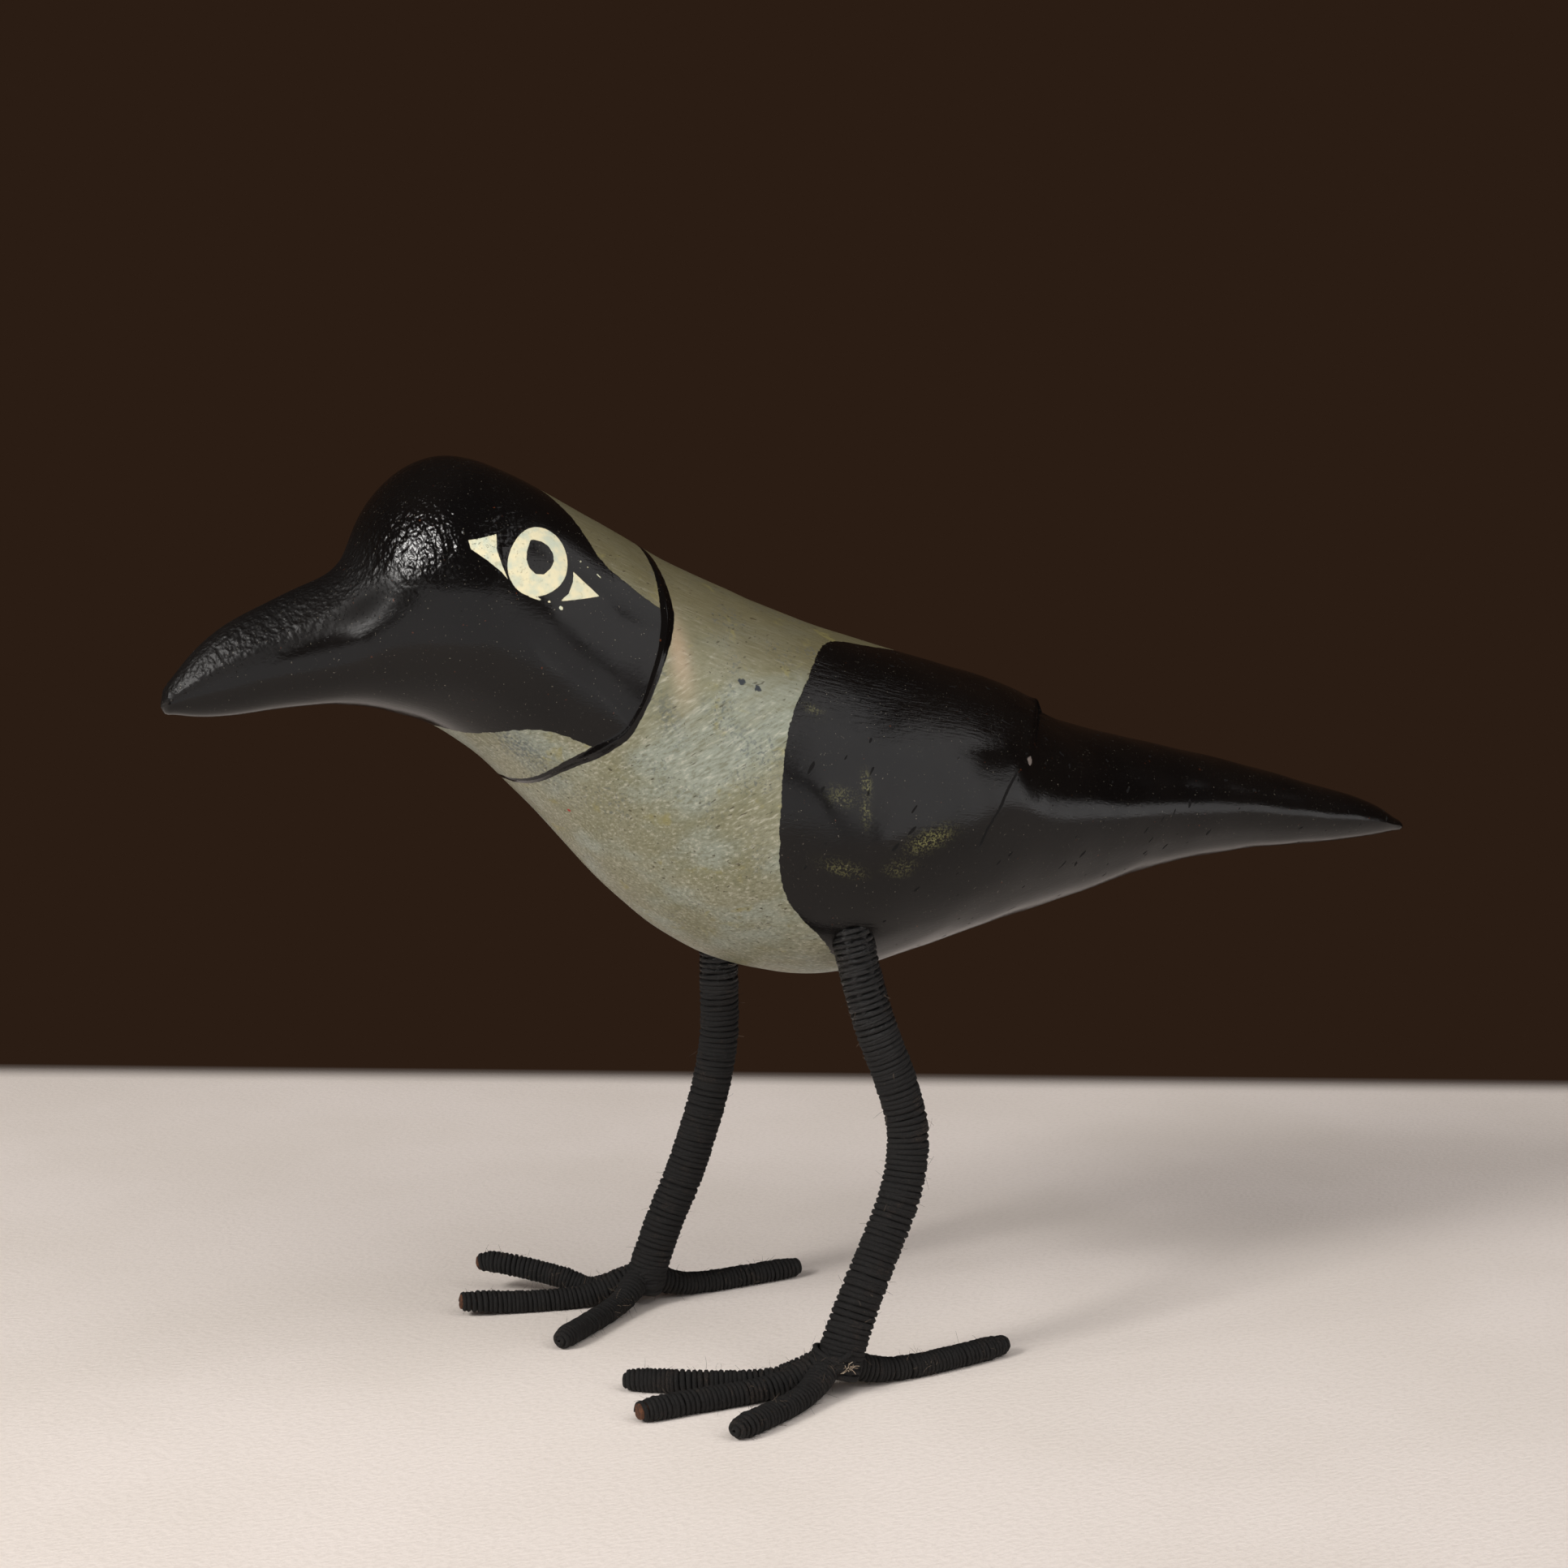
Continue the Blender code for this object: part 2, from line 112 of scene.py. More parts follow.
# The eye, in millimetres ahead of and above its middle
EYE_MIDDLE = (-45.55, 102.05)
EYE_SLANT = 0.16
EYE_WOBBLE = (0.05, 0.9, 0.7)  # how far the ring wavers, and its waves along and up
EYE_FINE = (9.5, 6.0)  # half size of the skin that is made finer round the eye
EYE_REACH = (12, 8)  # half size of the skin on which the eye's outline is worked out
EYE_RING = (-0.15, 0.0, 3.70, 4.0)
EYE_PUPIL = ((-0.95, 2.35), (-0.65, 2.35), (0.2, 2.15), (0.98, 1.65), (1.5, 0.85), (1.58, 0.05), (1.2, -0.65),
             (0.5, -1.25), (-0.35, -1.2), (-1.08, -0.55), (-1.42, 0.34), (-1.36, 1.3), (-1.1, 1.95))
PUPIL_ROUNDING = 0.2
EYE_FRONT_CORNER = ((-8.05, 2.5), (-6.6, 2.75), (-4.75, 3.25), (-4.95, 1.5), (-4.55, -0.3), (-4.0, -2.0),
                    (-4.65, -1.15), (-6.3, 0.3), (-7.9, 1.5))
EYE_REAR_CORNER = ((4.1, -1.15), (7.0, -4.1), (4.2, -4.4), (1.9, -4.6), (3.1, -3.7), (3.85, -2.3))
EYE_FLECKS = ((1.95, -5.3, 2.1, -5.4, 0.20), (5.3, 0.0, 5.35, 0.0, 0.11), (6.1, -0.65, 6.2, -0.7, 0.09),
              (7.2, -1.5, 7.6, -1.9, 0.08), (-1.6, -3.9, -0.4, -4.35, 0.12), (0.6, -4.6, 0.7, -4.6, 0.14))

# Rubbed marks of pale paint on the wing: place along, turn, half length, half width, tilt, strength
SMUDGES = ((0.9, -6, 2.3, 0.7, 22, 1.0), (-7.3, 8, 0.45, 1.1, 0, 0.75), (-7.5, 0, 0.45, 1.2, 0, 0.55),
           (-10.0, -18, 1.9, 0.6, 0, 0.55), (-2.7, -15, 1.5, 0.5, 10, 0.55), (-13.1, 27, 0.9, 0.35, 0, 0.6),
           (-10.5, 3, 1.3, 0.8, 0, 0.45))
# Small marks, each a place and a radius: a pale grey spot at the foot of the wing's end, red paint, dark
# paint
PALE_SPOT = ((16.6, -22.0, 77.0), 0.6)
RED_MARK = ((-39.9, -10.5, 72.0), 0.3)
DARK_MARKS = (((-21.6, -21.1, 87.7), 0.55), ((-19.7, -21.4, 86.9), 0.5))
# Dark grime on the grey paint, told the same way as the rubbed marks
GRIME = ((-31.3, 1, 1.6, 3.0, 0, 0.8), (-24, 10, 3.0, 2.4, 0, 0.3), (-46, -55, 4.5, 3.4, 0, 0.95),
         (-20, 20, 2.0, 1.0, 0, 0.3))
SMUDGE_FALL = 0.8
GRIME_FALL = 1.0

# Legs: centre lines from under the table to the belly, in millimetres
SHANKS = {
    "left": ((-11.6, -23.8, -2.2), (-9.5, -23.2, 4.4), (-6.7, -22.6, 11.0), (-3.4, -22.0, 17.6),
             (-0.5, -21.5, 24.2), (0.6, -20.9, 30.8), (-0.8, -20.3, 37.4), (-3.2, -19.7, 44.0),
             (-5.0, -19.1, 50.6), (-6.4, -18.6, 57.2)),
    "right": ((-21.0, 20.2, -2.2), (-19.6, 19.6, 4.5), (-17.5, 18.9, 11.2), (-14.8, 18.3, 17.8),
              (-12.7, 17.6, 24.5), (-11.0, 17.0, 31.2), (-10.2, 16.4, 37.9), (-10.5, 15.7, 44.6),
              (-10.7, 15.1, 51.3), (-10.9, 14.4, 58.0)),
}
HIPS = {"left": (-5.8, -18.8), "right": (-10.8, 14.7)}
ANKLE_RADIUS = {"left": 3.0, "right": 2.7}
SHANK_RADIUS = 2.7
FOOT_PLACES = {"left": (-11.0, -23.6), "right": (-20.4, 20.0)}
FLAT = ((1.0, 0.0),)
# Toes: length, heading in degrees from straight ahead, bow, lifts along it, whether bare wire shows
TOES = {
    "left": (
        ("outer_toe", 20.3, 34.0, 0.6, FLAT, False),
        ("middle_toe", 25.4, 3.0, -0.6, FLAT, True),
        ("inner_toe", 25.0, -24.0, 0.8, FLAT, False),
        ("hind_toe", 26.5, 190.0, -0.8, FLAT, False),
    ),
    "right": (
        ("outer_toe", 23.2, -35.0, 0.0, ((0.47, 1.4), (0.72, 2.5), (0.93, 3.1), (1.0, 2.8)), True),
        ("middle_toe", 24.6, -8.0, 0.0, ((0.6, 0.0), (1.0, 0.7)), True),
        ("inner_toe", 22.2, 43.0, 0.0, FLAT, False),
        ("hind_toe", 24.7, 188.0, 0.0, FLAT, False),
    ),
}
TOE_RISE = 2.6
TOE_DROP = (0.3, 0.3)  # the share of its length at which a toe has come down, and its height there
TOE_ROOT_RADIUS = 2.0
TOE_RADIUS = 1.55
TOE_TIP_RADIUS = 1.3
TOE_REST = 1.4

# The thread that is wound round the legs and toes
THREAD = 0.70
SHANK_THREAD = 0.84
SHANK_PITCH = 0.72
TOE_PITCH = 0.62
THREAD_SPREAD = (0.46, 0.53)  # a strand's radius as a share of the thread's thickness
OVER_THREAD = 0.5  # a second, thinner thread that crosses the first
OVER_PITCH = 2.1
OVER_SPREAD = (0.42, 0.5)
TURN_POINTS = 18
CORE_DEPTH = 0.30  # how far the core lies inside the thread's outside
LOOP_POINTS = 28  # points of each loop that ties the toes to the ankle
# Loose fibres of the thread
LINT_FIBRES = 420
LINT_RADII = (0.018, 0.018, 0.016, 0.014, 0.010)
# Pale fluff caught where the near foot's toes meet
FLUFF = (-9.9, -26.9, 4.0)
SEEDS = {"left": 11, "right": 23, "fluff": 5}

# Lamps: azimuth, elevation, distance, width, height, brightness, in degrees and metres. Azimuth 0 stands in
# front of the bird's left side and turns towards the tail.
LAMPS = {
    "key": (-72, 30, 0.82, 0.50, 0.42, 4.6),
    "key_middle": (-69, 31, 0.80, 0.17, 0.17, 35.0),
    "front_left": (-32, -10, 0.95, 0.77, 0.69, 1.05),
    "front_low": (-2, -9, 0.95, 0.28, 0.72, 1.2),
    "front": (27, 10, 0.95, 0.58, 1.48, 1.65),
    "front_right": (59, -9, 0.95, 0.51, 0.73, 1.55),
    "upper_right": (64, 47, 0.95, 0.46, 0.32, 1.35),
    "ceiling_bounce": (0, 58, 1.00, 1.1, 0.8, 1.45),
}
WINDOW_LIGHT = (1.0, 0.975, 0.95)
ROOM_LIGHT = (1.0, 0.98, 0.98)
LAMP_COLOURS = {"key": WINDOW_LIGHT, "key_middle": WINDOW_LIGHT, "ceiling_bounce": (1.0, 0.98, 0.97)}


def tint(red, green, blue):
    """Linear colour of a shade read in a picture, from 0 to 255 a channel."""
    channels = [value / 255 for value in (red, green, blue)]
    linear = [c / 12.92 if c <= 0.04045 else ((c + 0.055) / 1.055) ** 2.4 for c in channels]
    return (*linear, 1.0)


def ease(value, low, high):
    """Smooth step from 0 at low to 1 at high, for a number or an array."""
    t = np.clip((value - low) / (high - low), 0.0, 1.0)
    return t * t * (3 - 2 * t)


def plateau(value, span):
    """1 between the middle two of four limits, easing to 0 at the outer two."""
    start, full, last, end = span
    return ease(value, start, full) * (1 - ease(value, last, end))


class Finish:
    """A material that is built up node by node."""

    def __init__(self, name):
        self.material = bpy.data.materials.new(name)
        self.material.use_nodes = True
        self.tree = self.material.node_tree
        self.shader = self.tree.nodes["Principled BSDF"]
        self.place = self.add("ShaderNodeTexCoord").outputs["Object"]

    def add(self, kind, **settings):
        """A new node with these settings."""
        node = self.tree.nodes.new(kind)
        for key, value in settings.items():
            setattr(node, key, value)
        return node

    def plug(self, value, socket):
        """Link another node's value into a socket, or set the socket to a plain one."""
        if isinstance(value, bpy.types.NodeSocket):
            self.tree.links.new(value, socket)
        else:
            socket.default_value = value

    def attribute(self, name):
        return self.add("ShaderNodeAttribute", attribute_name=name).outputs["Fac"]

    def stretched(self, turn, stretch):
        """Object coordinates turned by degrees about each axis and then scaled."""
        mapping = self.add("ShaderNodeMapping", vector_type="TEXTURE")
        self.plug(self.place, mapping.inputs["Vector"])
        mapping.inputs["Rotation"].default_value = [math.radians(angle) for angle in turn]
        mapping.inputs["Scale"].default_value = stretch
        return mapping.outputs["Vector"]

    def speckle(self, size, detail=2.0, vector=None, roughness=0.5, distortion=0.0):
        """Noise from 0 to 1 whose grains are about this size in metres."""
        node = self.add("ShaderNodeTexNoise")
        self.plug(vector or self.place, node.inputs["Vector"])
        node.inputs["Scale"].default_value = 1 / size
        node.inputs["Detail"].default_value = detail
        node.inputs["Roughness"].default_value = roughness
        node.inputs["Distortion"].default_value = distortion
        return node.outputs["Fac"]

    def sum(self, a, b, operation="ADD"):
        """Two numbers added, or put together by another sum."""
        node = self.add("ShaderNodeMath", operation=operation)
        self.plug(a, node.inputs[0])
        self.plug(b, node.inputs[1])
        return node.outputs[0]

    def times(self, a, b):
        return self.sum(a, b, "MULTIPLY")

    def band(self, value, low, high, start=0.0, end=1.0):
        """Smooth ramp from start at low to end at high."""
        node = self.add("ShaderNodeMapRange", interpolation_type="SMOOTHSTEP")
        self.plug(value, node.inputs["Value"])
        for name, number in (("From Min", low), ("From Max", high), ("To Min", start), ("To Max", end)):
            node.inputs[name].default_value = number
        return node.outputs["Result"]

    def mix(self, share, a, b):
        """Colour between a and b."""
        node = self.add("ShaderNodeMix", data_type="RGBA")
        self.plug(share, node.inputs["Factor"])
        self.plug(a, node.inputs[6])
        self.plug(b, node.inputs[7])
        return node.outputs[2]

    def blend(self, share, a, b):
        """Number between a and b."""
        node = self.add("ShaderNodeMix", data_type="FLOAT")
        self.plug(share, node.inputs["Factor"])
        self.plug(a, node.inputs[2])
        self.plug(b, node.inputs[3])
        return node.outputs[0]

    def bump(self, height, depth, under=None):
        """Bump of this depth in metres, laid over another one."""
        node = self.add("ShaderNodeBump")
        node.inputs["Distance"].default_value = depth
        self.plug(height, node.inputs["Height"])
        if under is not None:
            self.plug(under, node.inputs["Normal"])
        return node.outputs["Normal"]

    def split(self, axis):
        """One coordinate of the place."""
        node = self.add("ShaderNodeSeparateXYZ")
        self.plug(self.place, node.inputs[0])
        return node.outputs[axis]

    def spot(self, place, radius, waver=0.0):
        """1 within a radius of a place given in millimetres, on soft edges."""
        node = self.add("ShaderNodeVectorMath", operation="DISTANCE")
        self.plug(self.place, node.inputs[0])
        node.inputs[1].default_value = [value * MM for value in place]
        away = self.sum(node.outputs["Value"], waver)
        return self.band(away, radius * MM, radius * MM * 0.6)

    def set(self, **sockets):
        """The finished material, with these values on its shader."""
        names = {"colour": "Base Color", "roughness": "Roughness", "normal": "Normal", "metallic": "Metallic",
                 "specular": "Specular IOR Level"}
        for key, value in sockets.items():
            self.plug(value, self.shader.inputs[names[key]])
        return self.material


def grey_paint(f, streaks, rising):
    """Worn grey paint with painted shade that darkens it towards the back, and brush streaks, stains, dirt,
    pits and grime.
    """
    patchy = f.band(f.speckle(0.009, 4.0, None, 0.6), 0.35, 0.68)
    grey = f.mix(patchy, tint(132, 131, 110), tint(118, 117, 92))
    cool = f.band(f.speckle(0.006, 3.0, rising), 0.45, 0.7)
    grey = f.mix(f.times(cool, 0.65), grey, tint(140, 148, 138))
    grey = f.mix(f.times(f.band(streaks, 0.48, 0.68), 0.6), grey, tint(100, 98, 76))
    grey = f.mix(f.times(f.band(streaks, 0.48, 0.30), 0.45), grey, tint(190, 187, 170))
    # Painted shade: the grey darkens on the upward-facing back, where less light falls.
    grey = f.mix(f.band(f.attribute("turn"), 16.0, 54.0, 0.0, 0.82), grey, tint(92, 85, 60))
    stain = f.band(f.speckle(0.0045, 3.0, None, 0.65, 0.6), 0.60, 0.72)
    grey = f.mix(f.times(stain, 0.5), grey, tint(138, 130, 78))
    dirt = f.times(f.band(f.speckle(0.007, 2.0, None), 0.52, 0.7), f.band(f.speckle(0.0004, 3.0), 0.52, 0.66))
    grey = f.mix(f.times(dirt, 0.55), grey, tint(74, 80, 84))
    specks = f.band(f.speckle(0.0005, 1.0, rising), 0.68, 0.76)
    grey = f.mix(f.times(specks, 0.75), grey, tint(60, 52, 36))
    pits = f.times(f.band(f.speckle(0.00028, 1.0), 0.66, 0.74), f.band(f.speckle(0.004, 2.0), 0.4, 0.65))
    grey = f.mix(f.times(pits, 0.7), grey, tint(58, 54, 42))
    grime = f.times(f.attribute("grime"), f.band(f.speckle(0.0004, 4.0), 0.38, 0.6))
    grey = f.mix(f.times(grime, 0.62), grey, tint(62, 72, 82))
    return f.mix(f.times(f.attribute("flush"), 0.4), grey, tint(190, 160, 132))


def black_paint(f):
    """Black paint with pale rub marks, dust and a little rust on it."""
    soot = f.mix(f.band(f.speckle(0.012, 3.0), 0.3, 0.7), tint(9, 8, 8), tint(14, 12, 11))
    rubbed = f.times(f.attribute("smudge"), f.band(f.speckle(0.00028, 3.0, None, 0.7), 0.47, 0.62))
    soot = f.mix(f.times(rubbed, 0.8), soot, tint(138, 136, 86))
    dust = f.times(f.band(f.speckle(0.00022, 1.0), 0.735, 0.79), 0.6)
    soot = f.mix(dust, soot, tint(128, 122, 108))
    rusty = f.times(f.band(f.speckle(0.0007, 2.0), 0.74, 0.78), 0.3)
    return f.mix(rusty, soot, tint(120, 62, 36))


def eye_paint(f):
    """Cream paint of the eye, a little mottled."""
    cream = f.mix(f.band(f.speckle(0.0013, 4.0), 0.35, 0.7), tint(214, 206, 172), tint(186, 192, 172))
    return f.mix(f.times(f.band(f.speckle(0.0007, 3.0), 0.58, 0.72), 0.5), cream, tint(150, 150, 120))


def paint_roughness(f, black, collar, eye, cut_shade_and_scratches, streaks):
    """Gloss black, duller on the beak, with satin grey and matt cream and scratches."""
    gloss = f.blend(f.attribute("pebble"), f.band(f.speckle(0.004, 3.0), 0.3, 0.7, 0.13, 0.20), 0.13)
    gloss = f.blend(f.attribute("beak_top"), gloss, 0.45)
    gloss = f.blend(f.attribute("beak_root"), gloss, 0.85)
    gloss = f.blend(collar, gloss, 0.12)
    roughness = f.blend(black, f.band(streaks, 0.3, 0.7, 0.31, 0.45), gloss)
    roughness = f.blend(eye, roughness, 0.45)
    return f.blend(cut_shade_and_scratches, roughness, 0.85)


def paint_relief(f, black, wing, collar_gap, eye, streaks):
    """Brush marks, pebbles, beads, ribs on the wing's top, and the paint's thickness."""
    brushed = f.speckle(0.0003, 2.0, f.stretched((0, 8, 0), (7.0, 1.0, 1.0)), 0.6)
    peel = f.speckle(0.00080, 1.0)
    streaky = f.speckle(0.00060, 1.0, f.stretched((0, 62, 0), (3.0, 1.0, 1.0)))
    beads = f.band(f.speckle(0.00034, 1.0), 0.66, 0.72)
    ribbed = f.speckle(0.00040, 3.0, f.stretched((0, 14, 0), (6.0, 1.0, 1.0)), 0.6)
    film = f.sum(black, eye, "MAXIMUM")
    pebbled = f.times(black, f.attribute("pebble"))
    normal = f.bump(f.times(streaks, f.blend(film, 1.0, 0.15)), 0.00007)
    normal = f.bump(f.times(brushed, f.blend(black, 0.0, 1.0)), 0.000016, normal)
    normal = f.bump(f.times(f.sum(peel, streaky), pebbled), 0.00016, normal)
    normal = f.bump(f.times(beads, pebbled), 0.00022, normal)
    normal = f.bump(f.times(ribbed, f.times(wing, f.attribute("wing_top"))), 0.00009, normal)
    normal = f.bump(f.sum(f.times(black, 0.4), eye), 0.00008, normal)
    return f.bump(f.band(collar_gap, -0.05, 0.95), 0.00036, normal)


def painted_wood():
    """Grey body paint with glossy black hood, wings and collar, and the cream eye."""
    f = Finish("painted_wood")
    ragged = f.times(f.sum(f.speckle(0.0011, 3.0), -0.5), 0.5)
    fine = f.times(f.sum(f.speckle(0.00035, 2.0), -0.5), 0.25)
    waver = f.sum(ragged, fine)
    hood = f.band(f.sum(f.attribute("hood"), waver), -0.05, 0.05)
    wing = f.band(f.sum(f.attribute("wing"), waver), -0.06, 0.06)
    collar_gap = f.sum(f.attribute("collar_half"), f.sum(f.attribute("collar"), 0.0, "ABSOLUTE"), "SUBTRACT")
    collar = f.band(f.sum(collar_gap, f.times(waver, 0.5)), -0.04, 0.05)
    black = f.sum(f.sum(hood, wing, "MAXIMUM"), collar, "MAXIMUM")
    eye = f.band(f.sum(f.attribute("eye"), f.times(fine, 0.4)), -0.03, 0.03)
    # The knife cut is a matt near-black line of painted shade for the shade in its groove; the scratches are
    # real wear
    across_cut = f.sum(f.attribute("cut_side"), 0.0, "ABSOLUTE")
    cut = f.times(f.band(f.sum(across_cut, f.times(fine, 0.5)), 0.24, 0.16), f.attribute("cut_on"))
    scratches = f.band(f.speckle(0.0009, 1.0, f.stretched((0, -52, 0), (3.2, 1.0, 1.0))), 0.725, 0.745)
    cut_shade_and_scratches = f.sum(cut, f.times(scratches, wing), "MAXIMUM")

    rising = f.stretched((0, -28, 0), (5.0, 1.0, 1.0))
    strokes = f.speckle(0.00036, 3.0, rising, 0.6)
    grain = f.speckle(0.00034, 3.0, f.stretched((0, 24, 0), (6.0, 1.0, 1.0)), 0.6)
    streaks = f.blend(f.band(f.attribute("turn"), 5.0, 50.0), strokes, grain)

    grey = grey_paint(f, streaks, rising)
    jagged = f.times(f.sum(f.speckle(0.0004, 2.0), -0.5), 0.0008)
    for place, radius in DARK_MARKS:
        grey = f.mix(f.spot(place, radius, jagged), grey, tint(46, 50, 54))
    grey = f.mix(f.spot(*RED_MARK), grey, tint(150, 30, 20))
    colour = f.mix(black, grey, black_paint(f))
    colour = f.mix(eye, colour, eye_paint(f))
    # Painted shade of the knife cut's groove, with the real scratches, in matt near-black
    colour = f.mix(f.times(cut_shade_and_scratches, 0.8), colour, tint(8, 7, 7))
    # A pale grey spot at the foot of the wing's end
    colour = f.mix(f.times(f.spot(*PALE_SPOT, jagged), 0.8), colour, tint(128, 118, 112))
    roughness = paint_roughness(f, black, collar, eye, cut_shade_and_scratches, streaks)
    normal = paint_relief(f, black, wing, collar_gap, eye, streaks)
    return f.set(colour=colour, roughness=roughness, normal=normal, specular=0.25)


def thread_finish():
    """Matt black thread, with brown lint caught in it and black paint run over its top."""
    f = Finish("black_thread")
    height = f.split("Z")
    painted = f.band(f.sum(height, f.times(f.speckle(0.004, 2.0), 0.012)), 0.046, 0.054)
    twist = f.speckle(0.00016, 3.0, None, 0.7)
    lint = f.times(f.band(f.speckle(0.003, 3.0, None, 0.6), 0.52, 0.7), f.band(twist, 0.5, 0.62))
    base = f.mix(f.band(twist, 0.35, 0.75), tint(8, 8, 8), tint(34, 32, 31))
    base = f.mix(f.times(lint, 0.45), base, tint(78, 62, 50))
    base = f.mix(f.times(painted, 0.8), base, tint(9, 9, 9))
    lumps = f.speckle(0.0006, 3.0, None, 0.6)
    normal = f.bump(twist, 0.00014)
    normal = f.bump(f.times(lumps, painted), 0.00035, normal)
    return f.set(colour=base, roughness=f.blend(painted, 0.85, 0.16), normal=normal, specular=0.35)


def lint_finish():
    """Loose fibres of the thread."""
    f = Finish("thread_lint")
    base = f.mix(f.band(f.speckle(0.006, 2.0), 0.45, 0.62), tint(26, 23, 22), tint(120, 106, 92))
    return f.set(colour=base, roughness=0.8, specular=0.2)


def fluff_finish():
    """Pale loose fibre."""
    f = Finish("pale_fluff")
    base = f.mix(f.band(f.speckle(0.0008, 2.0), 0.4, 0.6), tint(190, 176, 156), tint(140, 124, 106))
    return f.set(colour=base, roughness=0.85, specular=0.2)


def rust_finish():
    """Rusted end of iron wire."""
    f = Finish("rusty_wire")
    grains = f.speckle(0.0005, 4.0, None, 0.7)
    base = f.mix(f.band(grains, 0.35, 0.65), tint(50, 29, 18), tint(98, 60, 37))
    base = f.mix(f.band(f.speckle(0.00025, 3.0), 0.6, 0.7), base, tint(40, 24, 16))
    return f.set(colour=base, roughness=0.85, normal=f.bump(grains, 0.00015), metallic=0.15)


def cloth_finish():
    """Plain pale table covering, soft at its far edge."""
    f = Finish("pale_table")
    base = f.mix(f.band(f.speckle(0.05, 3.0), 0.35, 0.65), tint(235, 226, 219), tint(230, 221, 213))
    weave = f.speckle(0.0006, 2.0, f.stretched((0, 0, 22.5), (1.6, 1.0, 1.0)), 0.5)
    base = f.mix(f.times(f.band(weave, 0.45, 0.65), 0.12), base, tint(196, 186, 176))
    f.plug(f.attribute("solid"), f.shader.inputs["Alpha"])
    return f.set(colour=base, roughness=0.9, specular=0.15, normal=f.bump(weave, 0.0001))


def link(name, data, material):
    """A new object of the scene with one material."""
    piece = bpy.data.objects.new(name, data)
    bpy.context.scene.collection.objects.link(piece)
    data.materials.append(material)
    return piece


def along_line(points, share):
    """Value of a line of (share, value) points, on a smooth curve through them."""
    last = len(points) - 1
    index = 0
    while index < last - 1 and share > points[index + 1][0]:
        index += 1
    start, end = points[index], points[index + 1]
    span = end[0] - start[0]
    slopes = []
    for centre in (index, index + 1):
        before, after = points[max(centre - 1, 0)], points[min(centre + 1, last)]
        slopes.append((after[1] - before[1]) / (after[0] - before[0]))
    t = min(max((share - start[0]) / span, 0.0), 1.0)
    from_start = (1 + 2 * t) * (1 - t) ** 2 * start[1] + t * t * (3 - 2 * t) * end[1]
    return from_start + span * (t * (1 - t) ** 2 * slopes[0] - t * t * (1 - t) * slopes[1])


def spine_height(along):
    """Height of the spine in millimetres at a place along the bird, on a smooth curve."""
    places = np.linspace(SPINE[0][0], SPINE[-1][0], 240)
    return np.interp(along, places, [along_line(SPINE, place) for place in places])


def measured_skin(body):
    """Stations and turns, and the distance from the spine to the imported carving's skin at each."""
    low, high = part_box("body")
    along = np.linspace(low.x, high.x, SKIN_STATIONS) / MM
    turns = np.linspace(-math.pi, math.pi, SKIN_TURNS, endpoint=False)
    mesh = bmesh.new()
    mesh.from_mesh(body.data)
    tree = BVHTree.FromBMesh(mesh)
    radii = np.zeros((SKIN_STATIONS, SKIN_TURNS))
    inside = np.clip(along, along[0] + 0.05, along[-1] - 0.05)
    inner_height = spine_height(inside)
    for i in range(SKIN_STATIONS):
        start = Vector((inside[i], MIDDLE_Y, inner_height[i])) * MM
        for j in range(SKIN_TURNS):
            aim = Vector((0, math.cos(turns[j]), math.sin(turns[j])))
            hit = tree.ray_cast(start, aim)
            radii[i, j] = (hit[0] - start).length / MM
    mesh.free()
    return along, turns, radii


def closed_over_sockets(along, turns, radii):
    """The same distances, with the legs' sockets bridged from their rims."""
    across = MIDDLE_Y + radii * np.cos(turns)
    height = spine_height(along)[:, None] + radii * np.sin(turns)
    socket = np.zeros(radii.shape, bool)
    for hip_x, hip_y in HIPS.values():
        near = np.hypot(along[:, None] - hip_x, across - hip_y) < SOCKET_REACH
        socket |= near & (height < BELLY_TOP)
    fill = radii.copy()
    fill[socket] = fill[~socket].mean()
    for _ in range(400):
        around = (np.roll(fill, 1, 0) + np.roll(fill, -1, 0) + np.roll(fill, 1, 1) + np.roll(fill, -1, 1)) / 4
        fill[socket] = around[socket]
    return fill


def smoothed(along, turns, radii):
    """The same distances with the facets smoothed out, but not the step at the wings' rear end."""
    place, rise = along[:-1, None], np.sin(turns)
    steep = (radii[:-1] - radii[1:] > LIP_DROP) & (place > LIP_SPAN[0]) & (place < LIP_SPAN[1])
    flow = np.where(steep & (rise > LIP_RISE), 0.0, 1.0)
    smooth = radii.copy()
    for step in range(SMOOTH_ROUNDS):
        change = np.zeros_like(smooth)
        slope = (smooth[1:] - smooth[:-1]) * flow
        change[:-1] += slope
        change[1:] -= slope
        sideways = np.roll(smooth, -1, 1) + np.roll(smooth, 1, 1) - 2 * smooth
        smooth += 0.22 * (change + (sideways if step < SIDEWAYS_ROUNDS else 0))
    faded = smooth.copy()
    for _ in range(FADE_ROUNDS):
        faded[1:-1] += 0.25 * (faded[2:] - 2 * faded[1:-1] + faded[:-2])
    share = plateau(rise, FADE_RISE) * plateau(along, FADE_SPAN)[:, None]
    return smooth + (faded - smooth) * share


def on_skin(line, along, turns, radii, side=-1, count=240):
    """Points in millimetres where an outline lies on the skin, on the bird's left (-1) or right (1)."""
    line = np.array(line, float)
    steps = np.hypot(np.diff(line[:, 0]), np.diff(line[:, 1]) * TURN_WEIGHT)
    travelled = np.concatenate(([0], np.cumsum(steps)))
    wanted = np.linspace(0, travelled[-1], count)
    x = np.interp(wanted, travelled, line[:, 0])
    turn = np.radians(np.interp(wanted, travelled, line[:, 1]))
    angle = turn if side > 0 else math.pi - turn
    column = ((angle + math.pi) / (2 * math.pi) * len(turns)).round().astype(int) % len(turns)
    row = np.interp(x, along, np.arange(len(along))).round().astype(int)
    radius = radii[row, column]
    return np.stack([x, MIDDLE_Y + radius * np.cos(angle), spine_height(x) + radius * np.sin(angle)], 1)


